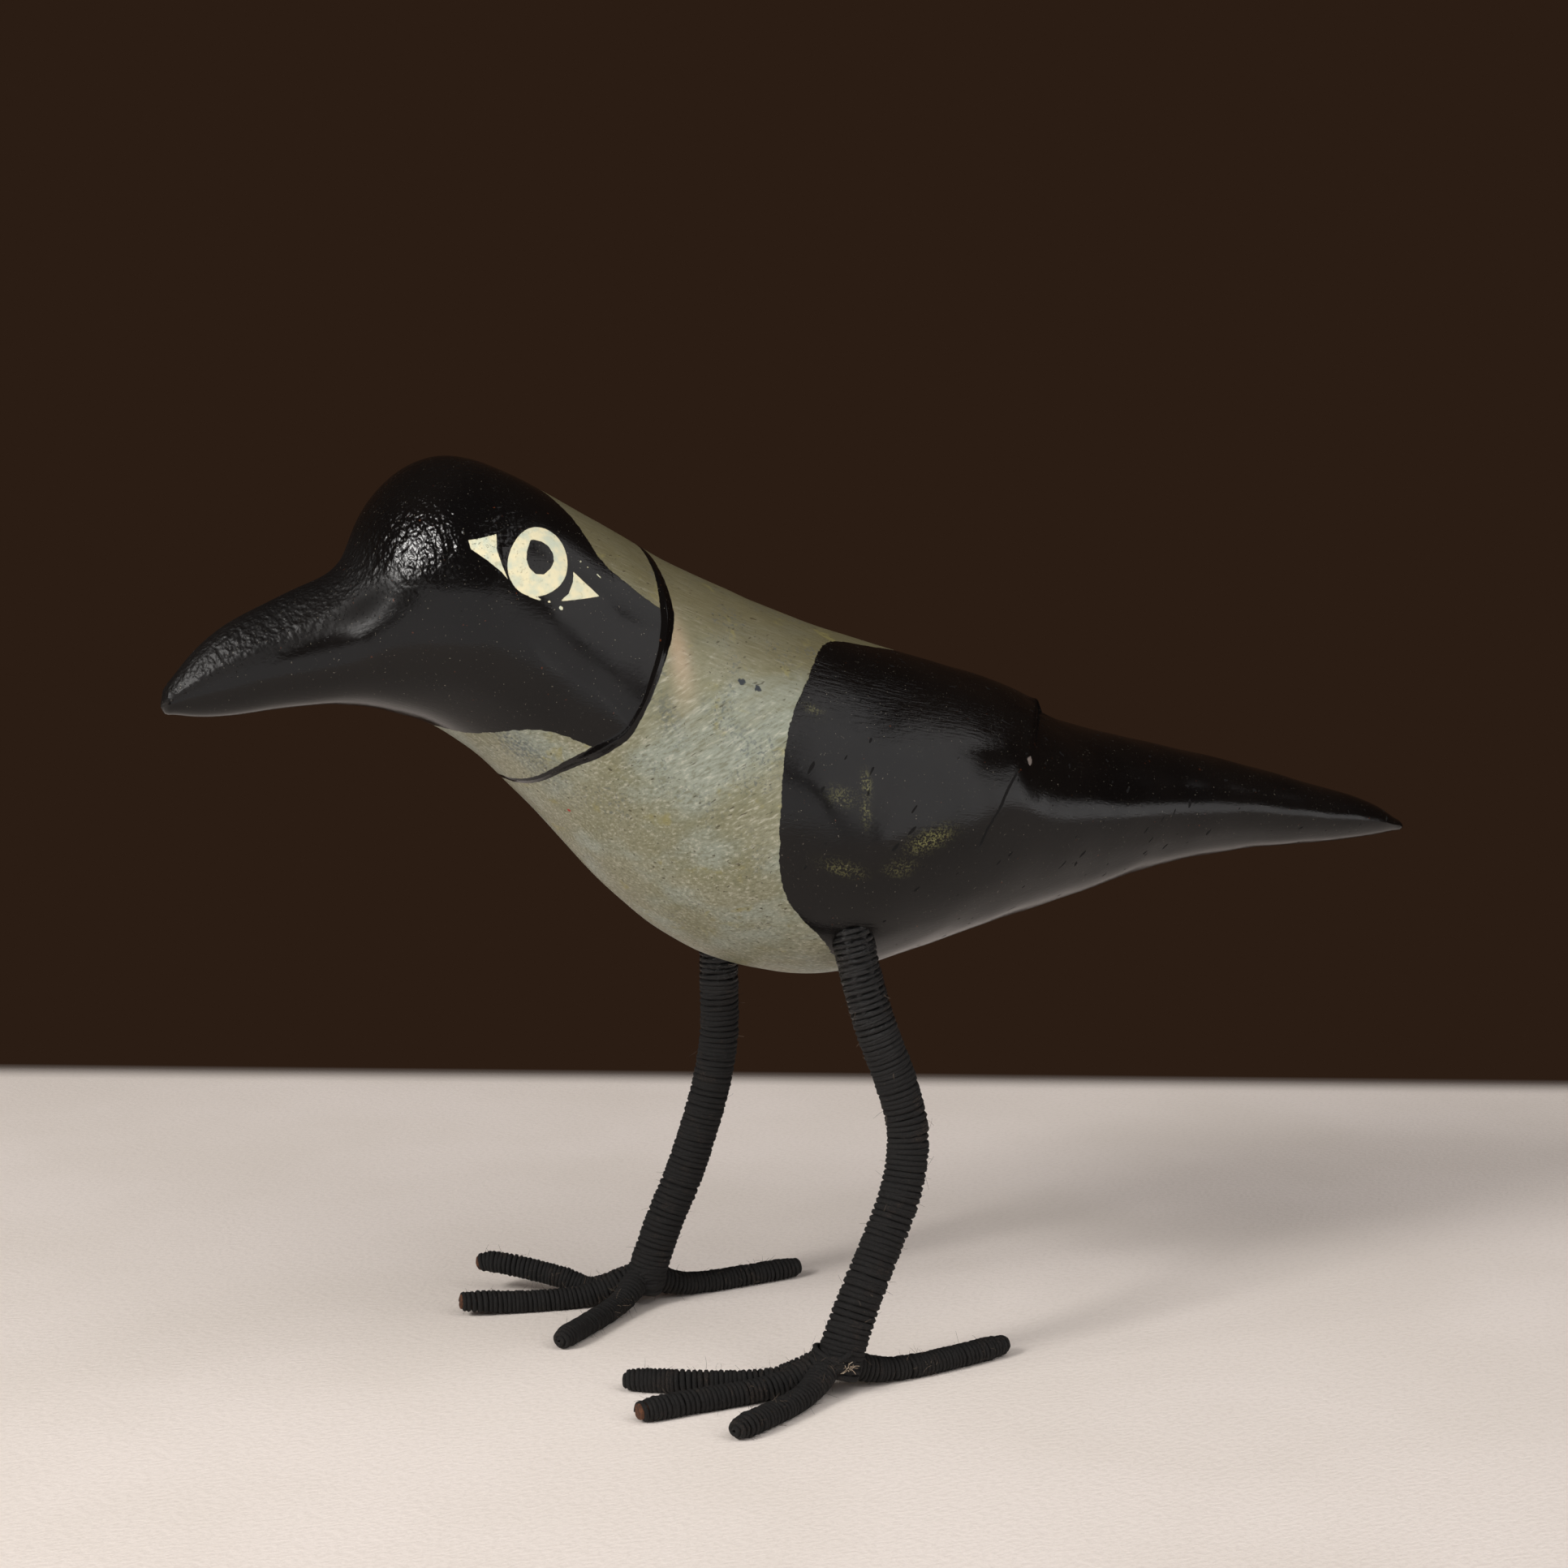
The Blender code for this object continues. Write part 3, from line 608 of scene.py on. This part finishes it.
def distance_to_line(points, line):
    """Distance in millimetres from each point to a line of points."""
    best = np.full(len(points), np.inf)
    for start, end in zip(line[:-1], line[1:]):
        span = end - start
        share = np.clip((points - start) @ span / max(span @ span, 1e-9), 0, 1)
        best = np.minimum(best, np.linalg.norm(points - start - share[:, None] * span, axis=1))
    return best


def corners_cut(line):
    """An outline with its corners cut and its two ends kept."""
    near, far = CORNER_SHARE, 1 - CORNER_SHARE
    for _ in range(CORNER_ROUNDS):
        cut = [line[0]]
        for start, end in zip(np.array(line[:-1]), np.array(line[1:])):
            cut += [tuple(start * far + end * near), tuple(start * near + end * far)]
        line = cut + [line[-1]]
    return line


def behind_edge(along, turn, edge):
    """True where a place lies towards the tail from an edge that runs from the back to the belly."""
    outline = list(edge) + [(400, -94), (400, 94)]
    return inside_outline(along, turn, outline)


def inside_outline(x, y, outline):
    """True where a point lies inside a closed outline."""
    found = np.zeros(len(x), bool)
    for (x1, y1), (x2, y2) in zip(outline, list(outline[1:]) + [outline[0]]):
        if y1 == y2:
            continue
        crosses = ((y1 > y) != (y2 > y)) & (x < (x2 - x1) * (y - y1) / (y2 - y1) + x1)
        found ^= crosses
    return found


def outline_depth(u, v, outline):
    """How far inside a closed outline a point lies, less than 0 outside."""
    flat = np.stack([u, v], 1)
    corners = np.array(outline, float)
    edge = distance_to_line(flat, np.vstack([corners, corners[:1]]))
    return np.where(inside_outline(u, v, outline), edge, -edge)


def ellipse_depth(u, v, ellipse):
    """About how far inside an ellipse a point lies, less than 0 outside."""
    middle_u, middle_v, half_u, half_v = ellipse
    span = np.hypot((u - middle_u) / half_u, (v - middle_v) / half_v)
    return (1 - span) * (half_u + half_v) / 2


def eye_depth(x, z):
    """How far inside the eye's cream paint a point of the side view lies."""
    v = z - EYE_MIDDLE[1]
    u = x - EYE_MIDDLE[0] - EYE_SLANT * v
    wobble = EYE_WOBBLE[0] * np.sin(EYE_WOBBLE[1] * u + EYE_WOBBLE[2] * v)
    pupil = outline_depth(u, v, EYE_PUPIL) + PUPIL_ROUNDING
    depth = np.minimum(ellipse_depth(u, v, EYE_RING) + wobble, -pupil)
    for corner in (EYE_FRONT_CORNER, EYE_REAR_CORNER):
        slanted = [(a - EYE_SLANT * b, b) for a, b in corner]
        depth = np.maximum(depth, outline_depth(u, v, slanted))
    for u1, v1, u2, v2, radius in EYE_FLECKS:
        line = np.array([(u1 - EYE_SLANT * v1, v1), (u2 - EYE_SLANT * v2, v2)], float)
        depth = np.maximum(depth, radius - distance_to_line(np.stack([u, v], 1), line))
    return depth


def soft_patch(x, turn, patch):
    """1 in the middle of a patch of the skin, fading out round it."""
    place, place_spread, middle_turn, turn_spread = patch
    return np.exp(-((x - place) / place_spread) ** 2 - ((turn - middle_turn) / turn_spread) ** 2)


def marks_on_skin(x, turn, marks, fall):
    """Strength of soft oval marks on the skin, from 0 to 1."""
    strength = np.zeros(len(x))
    for place, at, half_length, half_width, tilt, full in marks:
        u, v = x - place, (turn - at) * DEGREE
        cosine, sine = math.cos(math.radians(tilt)), math.sin(math.radians(tilt))
        share = ((u * cosine + v * sine) / half_length) ** 2 + ((v * cosine - u * sine) / half_width) ** 2
        strength = np.maximum(strength, full * np.exp(-share * fall))
    return strength


def skin_mesh(along, turns, radii):
    """The skin as one closed mesh, finer round the eye."""
    bm = bmesh.new()
    bmesh.ops.create_grid(bm, x_segments=SKIN_STATIONS - 1, y_segments=SKIN_TURNS, size=0.5)
    middle = spine_height(along)
    for vertex in bm.verts:
        row = round((vertex.co.x + 0.5) * (SKIN_STATIONS - 1))
        column = round((vertex.co.y + 0.5) * SKIN_TURNS) % SKIN_TURNS
        x = along[row]
        to_end = min(x - along[0], along[-1] - x)
        close = math.sqrt(max(1 - (1 - min(to_end / SKIN_TIP, 1.0)) ** 2, 0.0))
        radius = radii[row, column] * close
        across, above = radius * math.cos(turns[column]), radius * math.sin(turns[column])
        vertex.co = Vector((x, MIDDLE_Y + across, middle[row] + above)) * MM
    bmesh.ops.remove_doubles(bm, verts=bm.verts, dist=1e-7)
    for _ in range(2):
        fine = []
        for edge in bm.edges:
            centre = (edge.verts[0].co + edge.verts[1].co) / 2 / MM
            ahead, above = abs(centre.x - EYE_MIDDLE[0]), abs(centre.z - EYE_MIDDLE[1])
            if ahead < EYE_FINE[0] and above < EYE_FINE[1]:
                fine.append(edge)
        split = bmesh.ops.subdivide_edges(bm, edges=fine, cuts=1, use_grid_fill=True)
        inner = [part for part in split["geom_inner"] if isinstance(part, bmesh.types.BMVert)]
        for _ in range(4):
            bmesh.ops.smooth_vert(bm, verts=inner, factor=0.5,
                                  use_axis_x=True, use_axis_y=True, use_axis_z=True)
    bmesh.ops.recalc_face_normals(bm, faces=bm.faces)
    for face in bm.faces:
        face.smooth = True
    mesh = bpy.data.meshes.new("carved_skin")
    bm.to_mesh(mesh)
    bm.free()
    return mesh


def vectors_of(mesh, name):
    """Places or normals of a mesh's points, one row each."""
    flat = np.empty(len(mesh.vertices) * 3)
    mesh.vertices.foreach_get(name, flat)
    return flat.reshape(-1, 3)


def edge_distances(co, turn, skin):
    """Signed distance from each point to the edge of the hood, wing and collar, and distance to the brow."""
    across = co[:, 1] - MIDDLE_Y
    edges = {"collar": corners_cut(COLLAR), "hood": corners_cut(HOOD_EDGE), "wing": corners_cut(WING_EDGE)}
    values = {}
    for name, line in (*edges.items(), ("brow", BROW)):
        values[name] = np.zeros(len(co))
        for side in (-1, 1):
            mine = across > 0 if side > 0 else across <= 0
            values[name][mine] = distance_to_line(co[mine], on_skin(line, *skin, side))
    for name, ahead, behind in (("hood", 1, -1), ("wing", -1, 1), ("collar", -1, 1)):
        values[name] *= np.where(behind_edge(co[:, 0], turn, edges[name]), behind, ahead)
    return values


def paint_values(co, turn, values):
    """Values of each point that the paint reads, in millimetres or from 0 to 1."""
    x, height = co[:, 0], co[:, 2]
    hip_x, hip_y = HIPS["left"]
    round_hip = 2.9 - np.hypot((x - hip_x) * 0.9, co[:, 1] - hip_y)
    values["wing"] = np.where(height < BELLY_TOP, np.maximum(values["wing"], round_hip), values["wing"])
    values["turn"] = turn
    half = np.array(COLLAR_HALF_WIDTH)
    values["collar_half"] = np.interp(turn, half[:, 0], half[:, 1])
    near_eye = (np.abs(x - EYE_MIDDLE[0]) < EYE_REACH[0]) & (np.abs(height - EYE_MIDDLE[1]) < EYE_REACH[1])
    values["eye"] = np.full(len(co), -2.0)
    values["eye"][near_eye] = eye_depth(x[near_eye], height[near_eye])
    cut_line = np.array(WING_CUT[::-1], float)
    values["cut_side"] = (x - np.interp(turn, cut_line[:, 1], cut_line[:, 0])) * 0.88
    values["cut_on"] = plateau(turn, (-10, -8, 14, 16))
    for name, (at_turns, at_places) in (("pebble", PEBBLED), ("beak_top", BEAK_TOP), ("wing_top", WING_TOP)):
        values[name] = ease(turn, *at_turns) * (1 - ease(x, *at_places))
    values["beak_root"] = soft_patch(x, turn, BEAK_ROOT)
    values["flush"] = soft_patch(x, turn, FLUSH)
    on_left = ease(MIDDLE_Y - co[:, 1], -2, 2)
    values["smudge"] = marks_on_skin(x, turn, SMUDGES, SMUDGE_FALL) * on_left
    values["grime"] = marks_on_skin(x, turn, GRIME, GRIME_FALL)
    return values


def carving_depth(co, turn, from_brow):
    """How deep the fine carving goes in at each point, less than 0 where it stands out."""
    x = co[:, 0]
    depth = BROW_GROOVE[0] * np.exp(-(from_brow / BROW_GROOVE[1]) ** 2)
    start_turn, start, fall = WING_RIDGE_TURN
    ridge_turn = start_turn - (x - start) * fall
    for (height, half_width), middle, span in ((WING_RIDGE, ridge_turn, WING_RIDGE_SPAN),
                                               (BEAK_RIDGE, 30, BEAK_RIDGE_SPAN)):
        depth -= height * np.exp(-((turn - middle) / half_width) ** 2) * plateau(x, span)
    ripple = np.array([noise.noise(Vector(point) * RIPPLE[1]) for point in co])
    return depth + RIPPLE[0] * ripple * plateau(x, (-84, -76, 76, 84))


def carved_skin(body, material):
    """The carving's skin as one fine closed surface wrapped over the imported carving."""
    along, turns, radii = measured_skin(body)
    radii = smoothed(along, turns, closed_over_sockets(along, turns, radii))
    mesh = skin_mesh(along, turns, radii)
    co = vectors_of(mesh, "co") / MM
    normal = vectors_of(mesh, "normal")
    turn = np.degrees(np.arctan2(co[:, 2] - spine_height(co[:, 0]), np.abs(co[:, 1] - MIDDLE_Y)))
    values = edge_distances(co, turn, (along, turns, radii))
    from_brow = values.pop("brow")
    values = paint_values(co, turn, values)
    co -= normal * carving_depth(co, turn, from_brow)[:, None]
    mesh.vertices.foreach_set("co", (co * MM).ravel())
    for name, value in values.items():
        attribute = mesh.attributes.new(name, "FLOAT", "POINT")
        attribute.data.foreach_set("value", value.astype(np.float32))
    mesh.update()
    return link("carved_skin", mesh, material)


def shank_line(side, count=60):
    """Centre line of a leg and its radius at each point, in millimetres."""
    knots = SHANKS[side]
    shares = [i / (len(knots) - 1) for i in range(len(knots))]
    columns = [[(share, knot[axis]) for share, knot in zip(shares, knots)] for axis in range(3)]
    places, radii = [], []
    for i in range(count):
        share = i / (count - 1)
        places.append(Vector([along_line(column, share) for column in columns]))
        thin = float(ease(share, 0.04, 0.32))
        radii.append(ANKLE_RADIUS[side] + (SHANK_RADIUS - ANKLE_RADIUS[side]) * thin)
    return places, radii


def toe_line(side, length, heading, bow, lifts, count=40):
    """Centre line of a toe and its radius at each point, in millimetres."""
    turn = math.radians(heading)
    ahead = Vector((-math.cos(turn), -math.sin(turn), 0.0))
    aside = Vector((-ahead.y, ahead.x, 0.0))
    heights = [(0.0, TOE_RISE), TOE_DROP] + [lift for lift in lifts if lift[0] > TOE_DROP[0]]
    foot_x, foot_y = FOOT_PLACES[side]
    places, radii = [], []
    for i in range(count):
        share = i / (count - 1)
        rest = TOE_REST + max(along_line(heights, share), 0.0)
        places.append(Vector((foot_x, foot_y, rest)) + ahead * length * share
                      + aside * bow * math.sin(math.pi * share))
        swell = (TOE_ROOT_RADIUS - TOE_RADIUS) * (1 - float(ease(share, 0.0, 0.35)))
        radii.append(TOE_RADIUS + swell - (TOE_RADIUS - TOE_TIP_RADIUS) * float(ease(share, 0.9, 1.0)))
    return places, radii


def wound(places, radii, pitch, thickness, chance, closed_tip=False):
    """Points of a thread wound round a line, resting on what is below it."""
    lengths = [0.0]
    for start, end in zip(places, places[1:]):
        lengths.append(lengths[-1] + (end - start).length)
    total = lengths[-1]
    side = Vector((0.0, 1.0, 0.0)) if abs((places[1] - places[0]).normalized().y) < 0.8 else Vector((1, 0, 0))
    points = []
    travelled, angle, index = 0.0, 0.0, 0
    pitch_now, lift = pitch, 0.0
    while travelled < total:
        while index < len(lengths) - 2 and travelled > lengths[index + 1]:
            index += 1
        share = (travelled - lengths[index]) / (lengths[index + 1] - lengths[index])
        centre = places[index].lerp(places[index + 1], share)
        before, after = places[max(index - 1, 0)], places[min(index + 2, len(places) - 1)]
        forward = (after - before).normalized()
        side = (side - forward * side.dot(forward)).normalized()
        up = forward.cross(side)
        radius = radii[index] + (radii[index + 1] - radii[index]) * share - thickness / 2
        ring = centre + (side * math.cos(angle) + up * math.sin(angle)) * (radius + lift)
        ring.z = max(ring.z, thickness / 2)
        points.append(ring)
        angle += 2 * math.pi / TURN_POINTS
        travelled += pitch_now / TURN_POINTS
        if len(points) % TURN_POINTS == 0:
            pitch_now = pitch * chance.uniform(0.7, 1.3)
        lift += (chance.uniform(-0.16, 0.16) - lift) * 0.12
    if closed_tip:
        centre, forward = places[-1], (places[-1] - places[-2]).normalized()
        side = (side - forward * side.dot(forward)).normalized()
        up = forward.cross(side)
        radius = radii[-1] - thickness / 2
        full = radius
        while radius > 0.1:
            dome = forward * 0.35 * math.sqrt(max(1 - (radius / full) ** 2, 0.0))
            ring = centre + dome + (side * math.cos(angle) + up * math.sin(angle)) * radius
            ring.z = max(ring.z, thickness / 2)
            points.append(ring)
            angle += 2 * math.pi / TURN_POINTS
            radius -= thickness * 0.8 / TURN_POINTS
    return points


def add_strand(curve, points, radii, cyclic=False):
    """One strand of a curve, in millimetres, with its thickness at each point."""
    spline = curve.splines.new("POLY")
    spline.points.add(len(points) - 1)
    spline.use_cyclic_u = cyclic
    for target, place, radius in zip(spline.points, points, radii):
        target.co = (*(Vector(place) * MM), 1.0)
        target.radius = radius * MM


def strand_curve(name, roundness):
    """An empty curve whose strands are round bars."""
    curve = bpy.data.curves.new(name, "CURVE")
    curve.dimensions = "3D"
    curve.bevel_depth = 1.0
    curve.bevel_resolution = roundness
    curve.use_fill_caps = True
    return curve


def ankle_loop(foot, chance):
    """One loop of thread round the ankle, leaning a little."""
    ahead, aside = chance.uniform(-0.5, 0.5), chance.uniform(-0.5, 0.5)
    lean = Vector((ahead, aside, 1.0)).normalized()
    centre = Vector((foot[0] + 0.5, foot[1], chance.uniform(3.2, 4.6)))
    across = lean.cross(Vector((1, 0, 0))).normalized()
    beside = lean.cross(across)
    loop = []
    for step in range(LOOP_POINTS):
        angle = 2 * math.pi * step / LOOP_POINTS
        point = centre + (across * math.cos(angle) + beside * math.sin(angle)) * chance.uniform(2.62, 2.70)
        point.z = max(point.z, THREAD / 2)
        loop.append(point)
    return loop


def scattered(chance, spread=1.0):
    """A random direction and length."""
    return Vector((chance.gauss(0, spread), chance.gauss(0, spread), chance.gauss(0, spread)))


def lint_fibre(lines, chance):
    """One loose fibre that stands off a wound line."""
    places, radii = chance.choice(lines)
    index = chance.randrange(1, len(places) - 1)
    forward = (places[index + 1] - places[index - 1]).normalized()
    out = scattered(chance)
    out = (out - forward * out.dot(forward)).normalized()
    start = places[index] + out * (radii[index] - 0.05)
    drift = (out + scattered(chance) * 0.7).normalized()
    curl = scattered(chance) * 0.35
    reach = chance.uniform(0.3, 1.3)
    fibre = []
    for step in range(len(LINT_RADII)):
        share = step / (len(LINT_RADII) - 1)
        point = start + drift * reach * share + curl * share * share
        point.z = max(point.z, 0.05)
        fibre.append(point)
    return fibre


def wound_leg(side, material, lint_material):
    """A leg and its toes wound with black thread, with the loose fibres that stand off it."""
    chance = random.Random(SEEDS[side])
    curve = strand_curve(side + "_leg_winding", 1)
    places, radii = shank_line(side)
    upright = [(place, radius) for place, radius in zip(places, radii) if place.z > 1.2]
    places, radii = [place for place, _ in upright], [radius for _, radius in upright]
    lines = [(places, radii)]
    painted = [0.16 * float(ease(place.z, 42, 50)) for place in places]
    add_strand(curve, places, [radius - CORE_DEPTH + paint for radius, paint in zip(radii, painted)])
    turns = wound(places, radii, SHANK_PITCH, SHANK_THREAD, chance)
    add_strand(curve, turns, [SHANK_THREAD * chance.uniform(*THREAD_SPREAD) for _ in turns])
    over = wound(places[::-1], radii[::-1], OVER_PITCH, OVER_THREAD, chance)
    add_strand(curve, over, [OVER_THREAD * chance.uniform(*OVER_SPREAD) for _ in over])
    for _, length, heading, bow, lifts, bare in TOES[side]:
        places, radii = toe_line(side, length, heading, bow, lifts)
        lines.append((places, radii))
        add_strand(curve, places, [radius - CORE_DEPTH for radius in radii])
        turns = wound(places, radii, TOE_PITCH, THREAD, chance, closed_tip=not bare)
        add_strand(curve, turns, [THREAD * chance.uniform(*THREAD_SPREAD) for _ in turns])
    for _ in range(7):
        loop = ankle_loop(FOOT_PLACES[side], chance)
        add_strand(curve, loop, [THREAD / 2] * len(loop), cyclic=True)
    winding = link(side + "_leg_winding", curve, material)

    lint = strand_curve(side + "_leg_lint", 0)
    for _ in range(LINT_FIBRES):
        add_strand(lint, lint_fibre(lines, chance), LINT_RADII)
    return winding, link(side + "_leg_lint", lint, lint_material)


def caught_fluff(material):
    """Pale fluff caught where the near foot's toes meet."""
    chance = random.Random(SEEDS["fluff"])
    curve = strand_curve("caught_fluff", 0)
    for _ in range(14):
        place = Vector(FLUFF) + scattered(chance, 0.24)
        step = scattered(chance, 0.4)
        strand = []
        for _ in range(7):
            strand.append(place.copy())
            step += scattered(chance, 0.22)
            place += step * 0.16
        add_strand(curve, strand, [0.04] * len(strand))
    return link("caught_fluff", curve, material)


def wire_end(side, name, length, heading, bow, lifts, material):
    """The cut end of a rusty wire in the tip of a toe."""
    places, _ = toe_line(side, length, heading, bow, lifts)
    forward = (places[-1] - places[-2]).normalized()
    bm = bmesh.new()
    bmesh.ops.create_cone(bm, cap_ends=True, segments=32, radius1=1.08 * MM,
                          radius2=1.0 * MM, depth=2.2 * MM)
    rim = [edge for edge in bm.edges if all(vertex.co.z > 0 for vertex in edge.verts)]
    bmesh.ops.bevel(bm, geom=rim, offset=0.22 * MM, segments=4, profile=0.5, affect="EDGES", material=-1)
    caps = [face for face in bm.faces if len(face.verts) > 4 and face.normal.z > 0.5]
    for _ in range(5):
        bmesh.ops.inset_region(bm, faces=caps, thickness=0.13 * MM)
    bmesh.ops.poke(bm, faces=caps)
    for vertex in bm.verts:
        if vertex.co.z > 0:
            vertex.co.z += noise.noise(vertex.co * 2600) * 0.07 * MM
    turn = forward.to_track_quat("Z", "Y").to_matrix().to_4x4()
    bmesh.ops.transform(bm, matrix=turn, verts=bm.verts)
    bmesh.ops.translate(bm, vec=(places[-1] - forward * 0.85) * MM, verts=bm.verts)
    bmesh.ops.recalc_face_normals(bm, faces=bm.faces)
    for face in bm.faces:
        face.smooth = True
    mesh = bpy.data.meshes.new(f"{side}_{name}_wire_end")
    bm.to_mesh(mesh)
    bm.free()
    return link(f"{side}_{name}_wire_end", mesh, material)


def table(material):
    """The pale table, which ends a little behind the bird as in the picture."""
    bm = bmesh.new()
    bmesh.ops.create_grid(bm, x_segments=2, y_segments=120, size=0.5)
    bmesh.ops.translate(bm, vec=(0.0, 0.5, 0.0), verts=bm.verts)
    bmesh.ops.scale(bm, vec=(TABLE_WIDTH, TABLE_FAR - TABLE_NEAR, 1.0), verts=bm.verts)
    bmesh.ops.translate(bm, vec=(0.0, TABLE_NEAR, 0.0), verts=bm.verts)
    solid = bm.verts.layers.float.new("solid")
    for vertex in bm.verts:
        vertex[solid] = 1 - float(ease(vertex.co.y, TABLE_FAR - TABLE_EDGE, TABLE_FAR))
    turn = Matrix.Rotation(math.radians(CAMERA_YAW - TABLE_SKEW), 4, "Z")
    bmesh.ops.transform(bm, matrix=turn, verts=bm.verts)
    bmesh.ops.translate(bm, vec=(CAMERA_PLACE[0], CAMERA_PLACE[1], 0.0), verts=bm.verts)
    mesh = bpy.data.meshes.new("table")
    bm.to_mesh(mesh)
    bm.free()
    floor = link("table", mesh, material)


def soft_light(name):
    """A large soft lamp that faces the bird."""
    azimuth, elevation, distance, width, height, brightness = LAMPS[name]
    data = bpy.data.lights.new(name, "AREA")
    data.shape = "RECTANGLE"
    data.size, data.size_y = width, height
    data.energy = brightness * width * height * math.pi
    data.color = LAMP_COLOURS.get(name, ROOM_LIGHT)
    lamp = bpy.data.objects.new(name, data)
    a, e = math.radians(azimuth), math.radians(elevation)
    direction = Vector((math.sin(a) * math.cos(e), -math.cos(a) * math.cos(e), math.sin(e)))
    lamp.location = Vector((-0.02, 0.0, 0.06)) + direction * distance
    lamp.rotation_euler = direction.to_track_quat("Z", "Y").to_euler()
    lamp.visible_glossy = name != "ceiling_bounce"
    bpy.context.scene.collection.objects.link(lamp)


def light_the_scene():
    """The plain backdrop and the lamps."""
    world = bpy.data.worlds.new("backdrop")
    bpy.context.scene.world = world
    world.use_nodes = True
    background = world.node_tree.nodes["Background"]
    background.inputs["Color"].default_value = tint(43, 29, 20)
    background.inputs["Strength"].default_value = 1.0
    for name in LAMPS:
        soft_light(name)


def place_camera():
    """The camera at the picture's place and angle."""
    data = bpy.data.cameras.new("camera")
    data.lens = FOCAL_LENGTH
    data.sensor_width = SENSOR
    camera = bpy.data.objects.new("camera", data)
    camera.location = CAMERA_PLACE
    camera.rotation_euler = (math.radians(CAMERA_PITCH), 0.0, math.radians(CAMERA_YAW))
    bpy.context.scene.collection.objects.link(camera)
    bpy.context.scene.camera = camera


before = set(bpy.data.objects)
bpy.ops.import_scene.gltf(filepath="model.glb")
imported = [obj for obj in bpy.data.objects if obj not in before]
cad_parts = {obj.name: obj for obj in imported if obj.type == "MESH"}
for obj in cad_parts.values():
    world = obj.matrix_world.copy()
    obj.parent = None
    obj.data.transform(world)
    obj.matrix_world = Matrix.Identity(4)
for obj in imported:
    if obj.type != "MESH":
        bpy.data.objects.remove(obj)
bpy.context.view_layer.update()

wood, rust, lint_look = painted_wood(), rust_finish(), lint_finish()
thread = thread_finish()
skin = carved_skin(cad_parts["body"], wood)
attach(skin, "root")
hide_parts("body")
for leg_side in SHANKS:
    leg_winding, leg_lint = wound_leg(leg_side, thread, lint_look)
    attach(leg_winding, "root")
    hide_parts(leg_side + "_leg")
    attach(leg_lint, "root")
    for toe_name, toe_length, toe_heading, toe_bow, toe_lifts, shows_wire in TOES[leg_side]:
        if shows_wire:
            end = wire_end(leg_side, toe_name, toe_length, toe_heading, toe_bow, toe_lifts, rust)
            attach(end, "root")
            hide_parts(f"{leg_side}_{toe_name}_wire")

fluff = caught_fluff(fluff_finish())
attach(fluff, "root")

table(cloth_finish())
light_the_scene()
place_camera()
bpy.context.scene.view_settings.view_transform = "Standard"
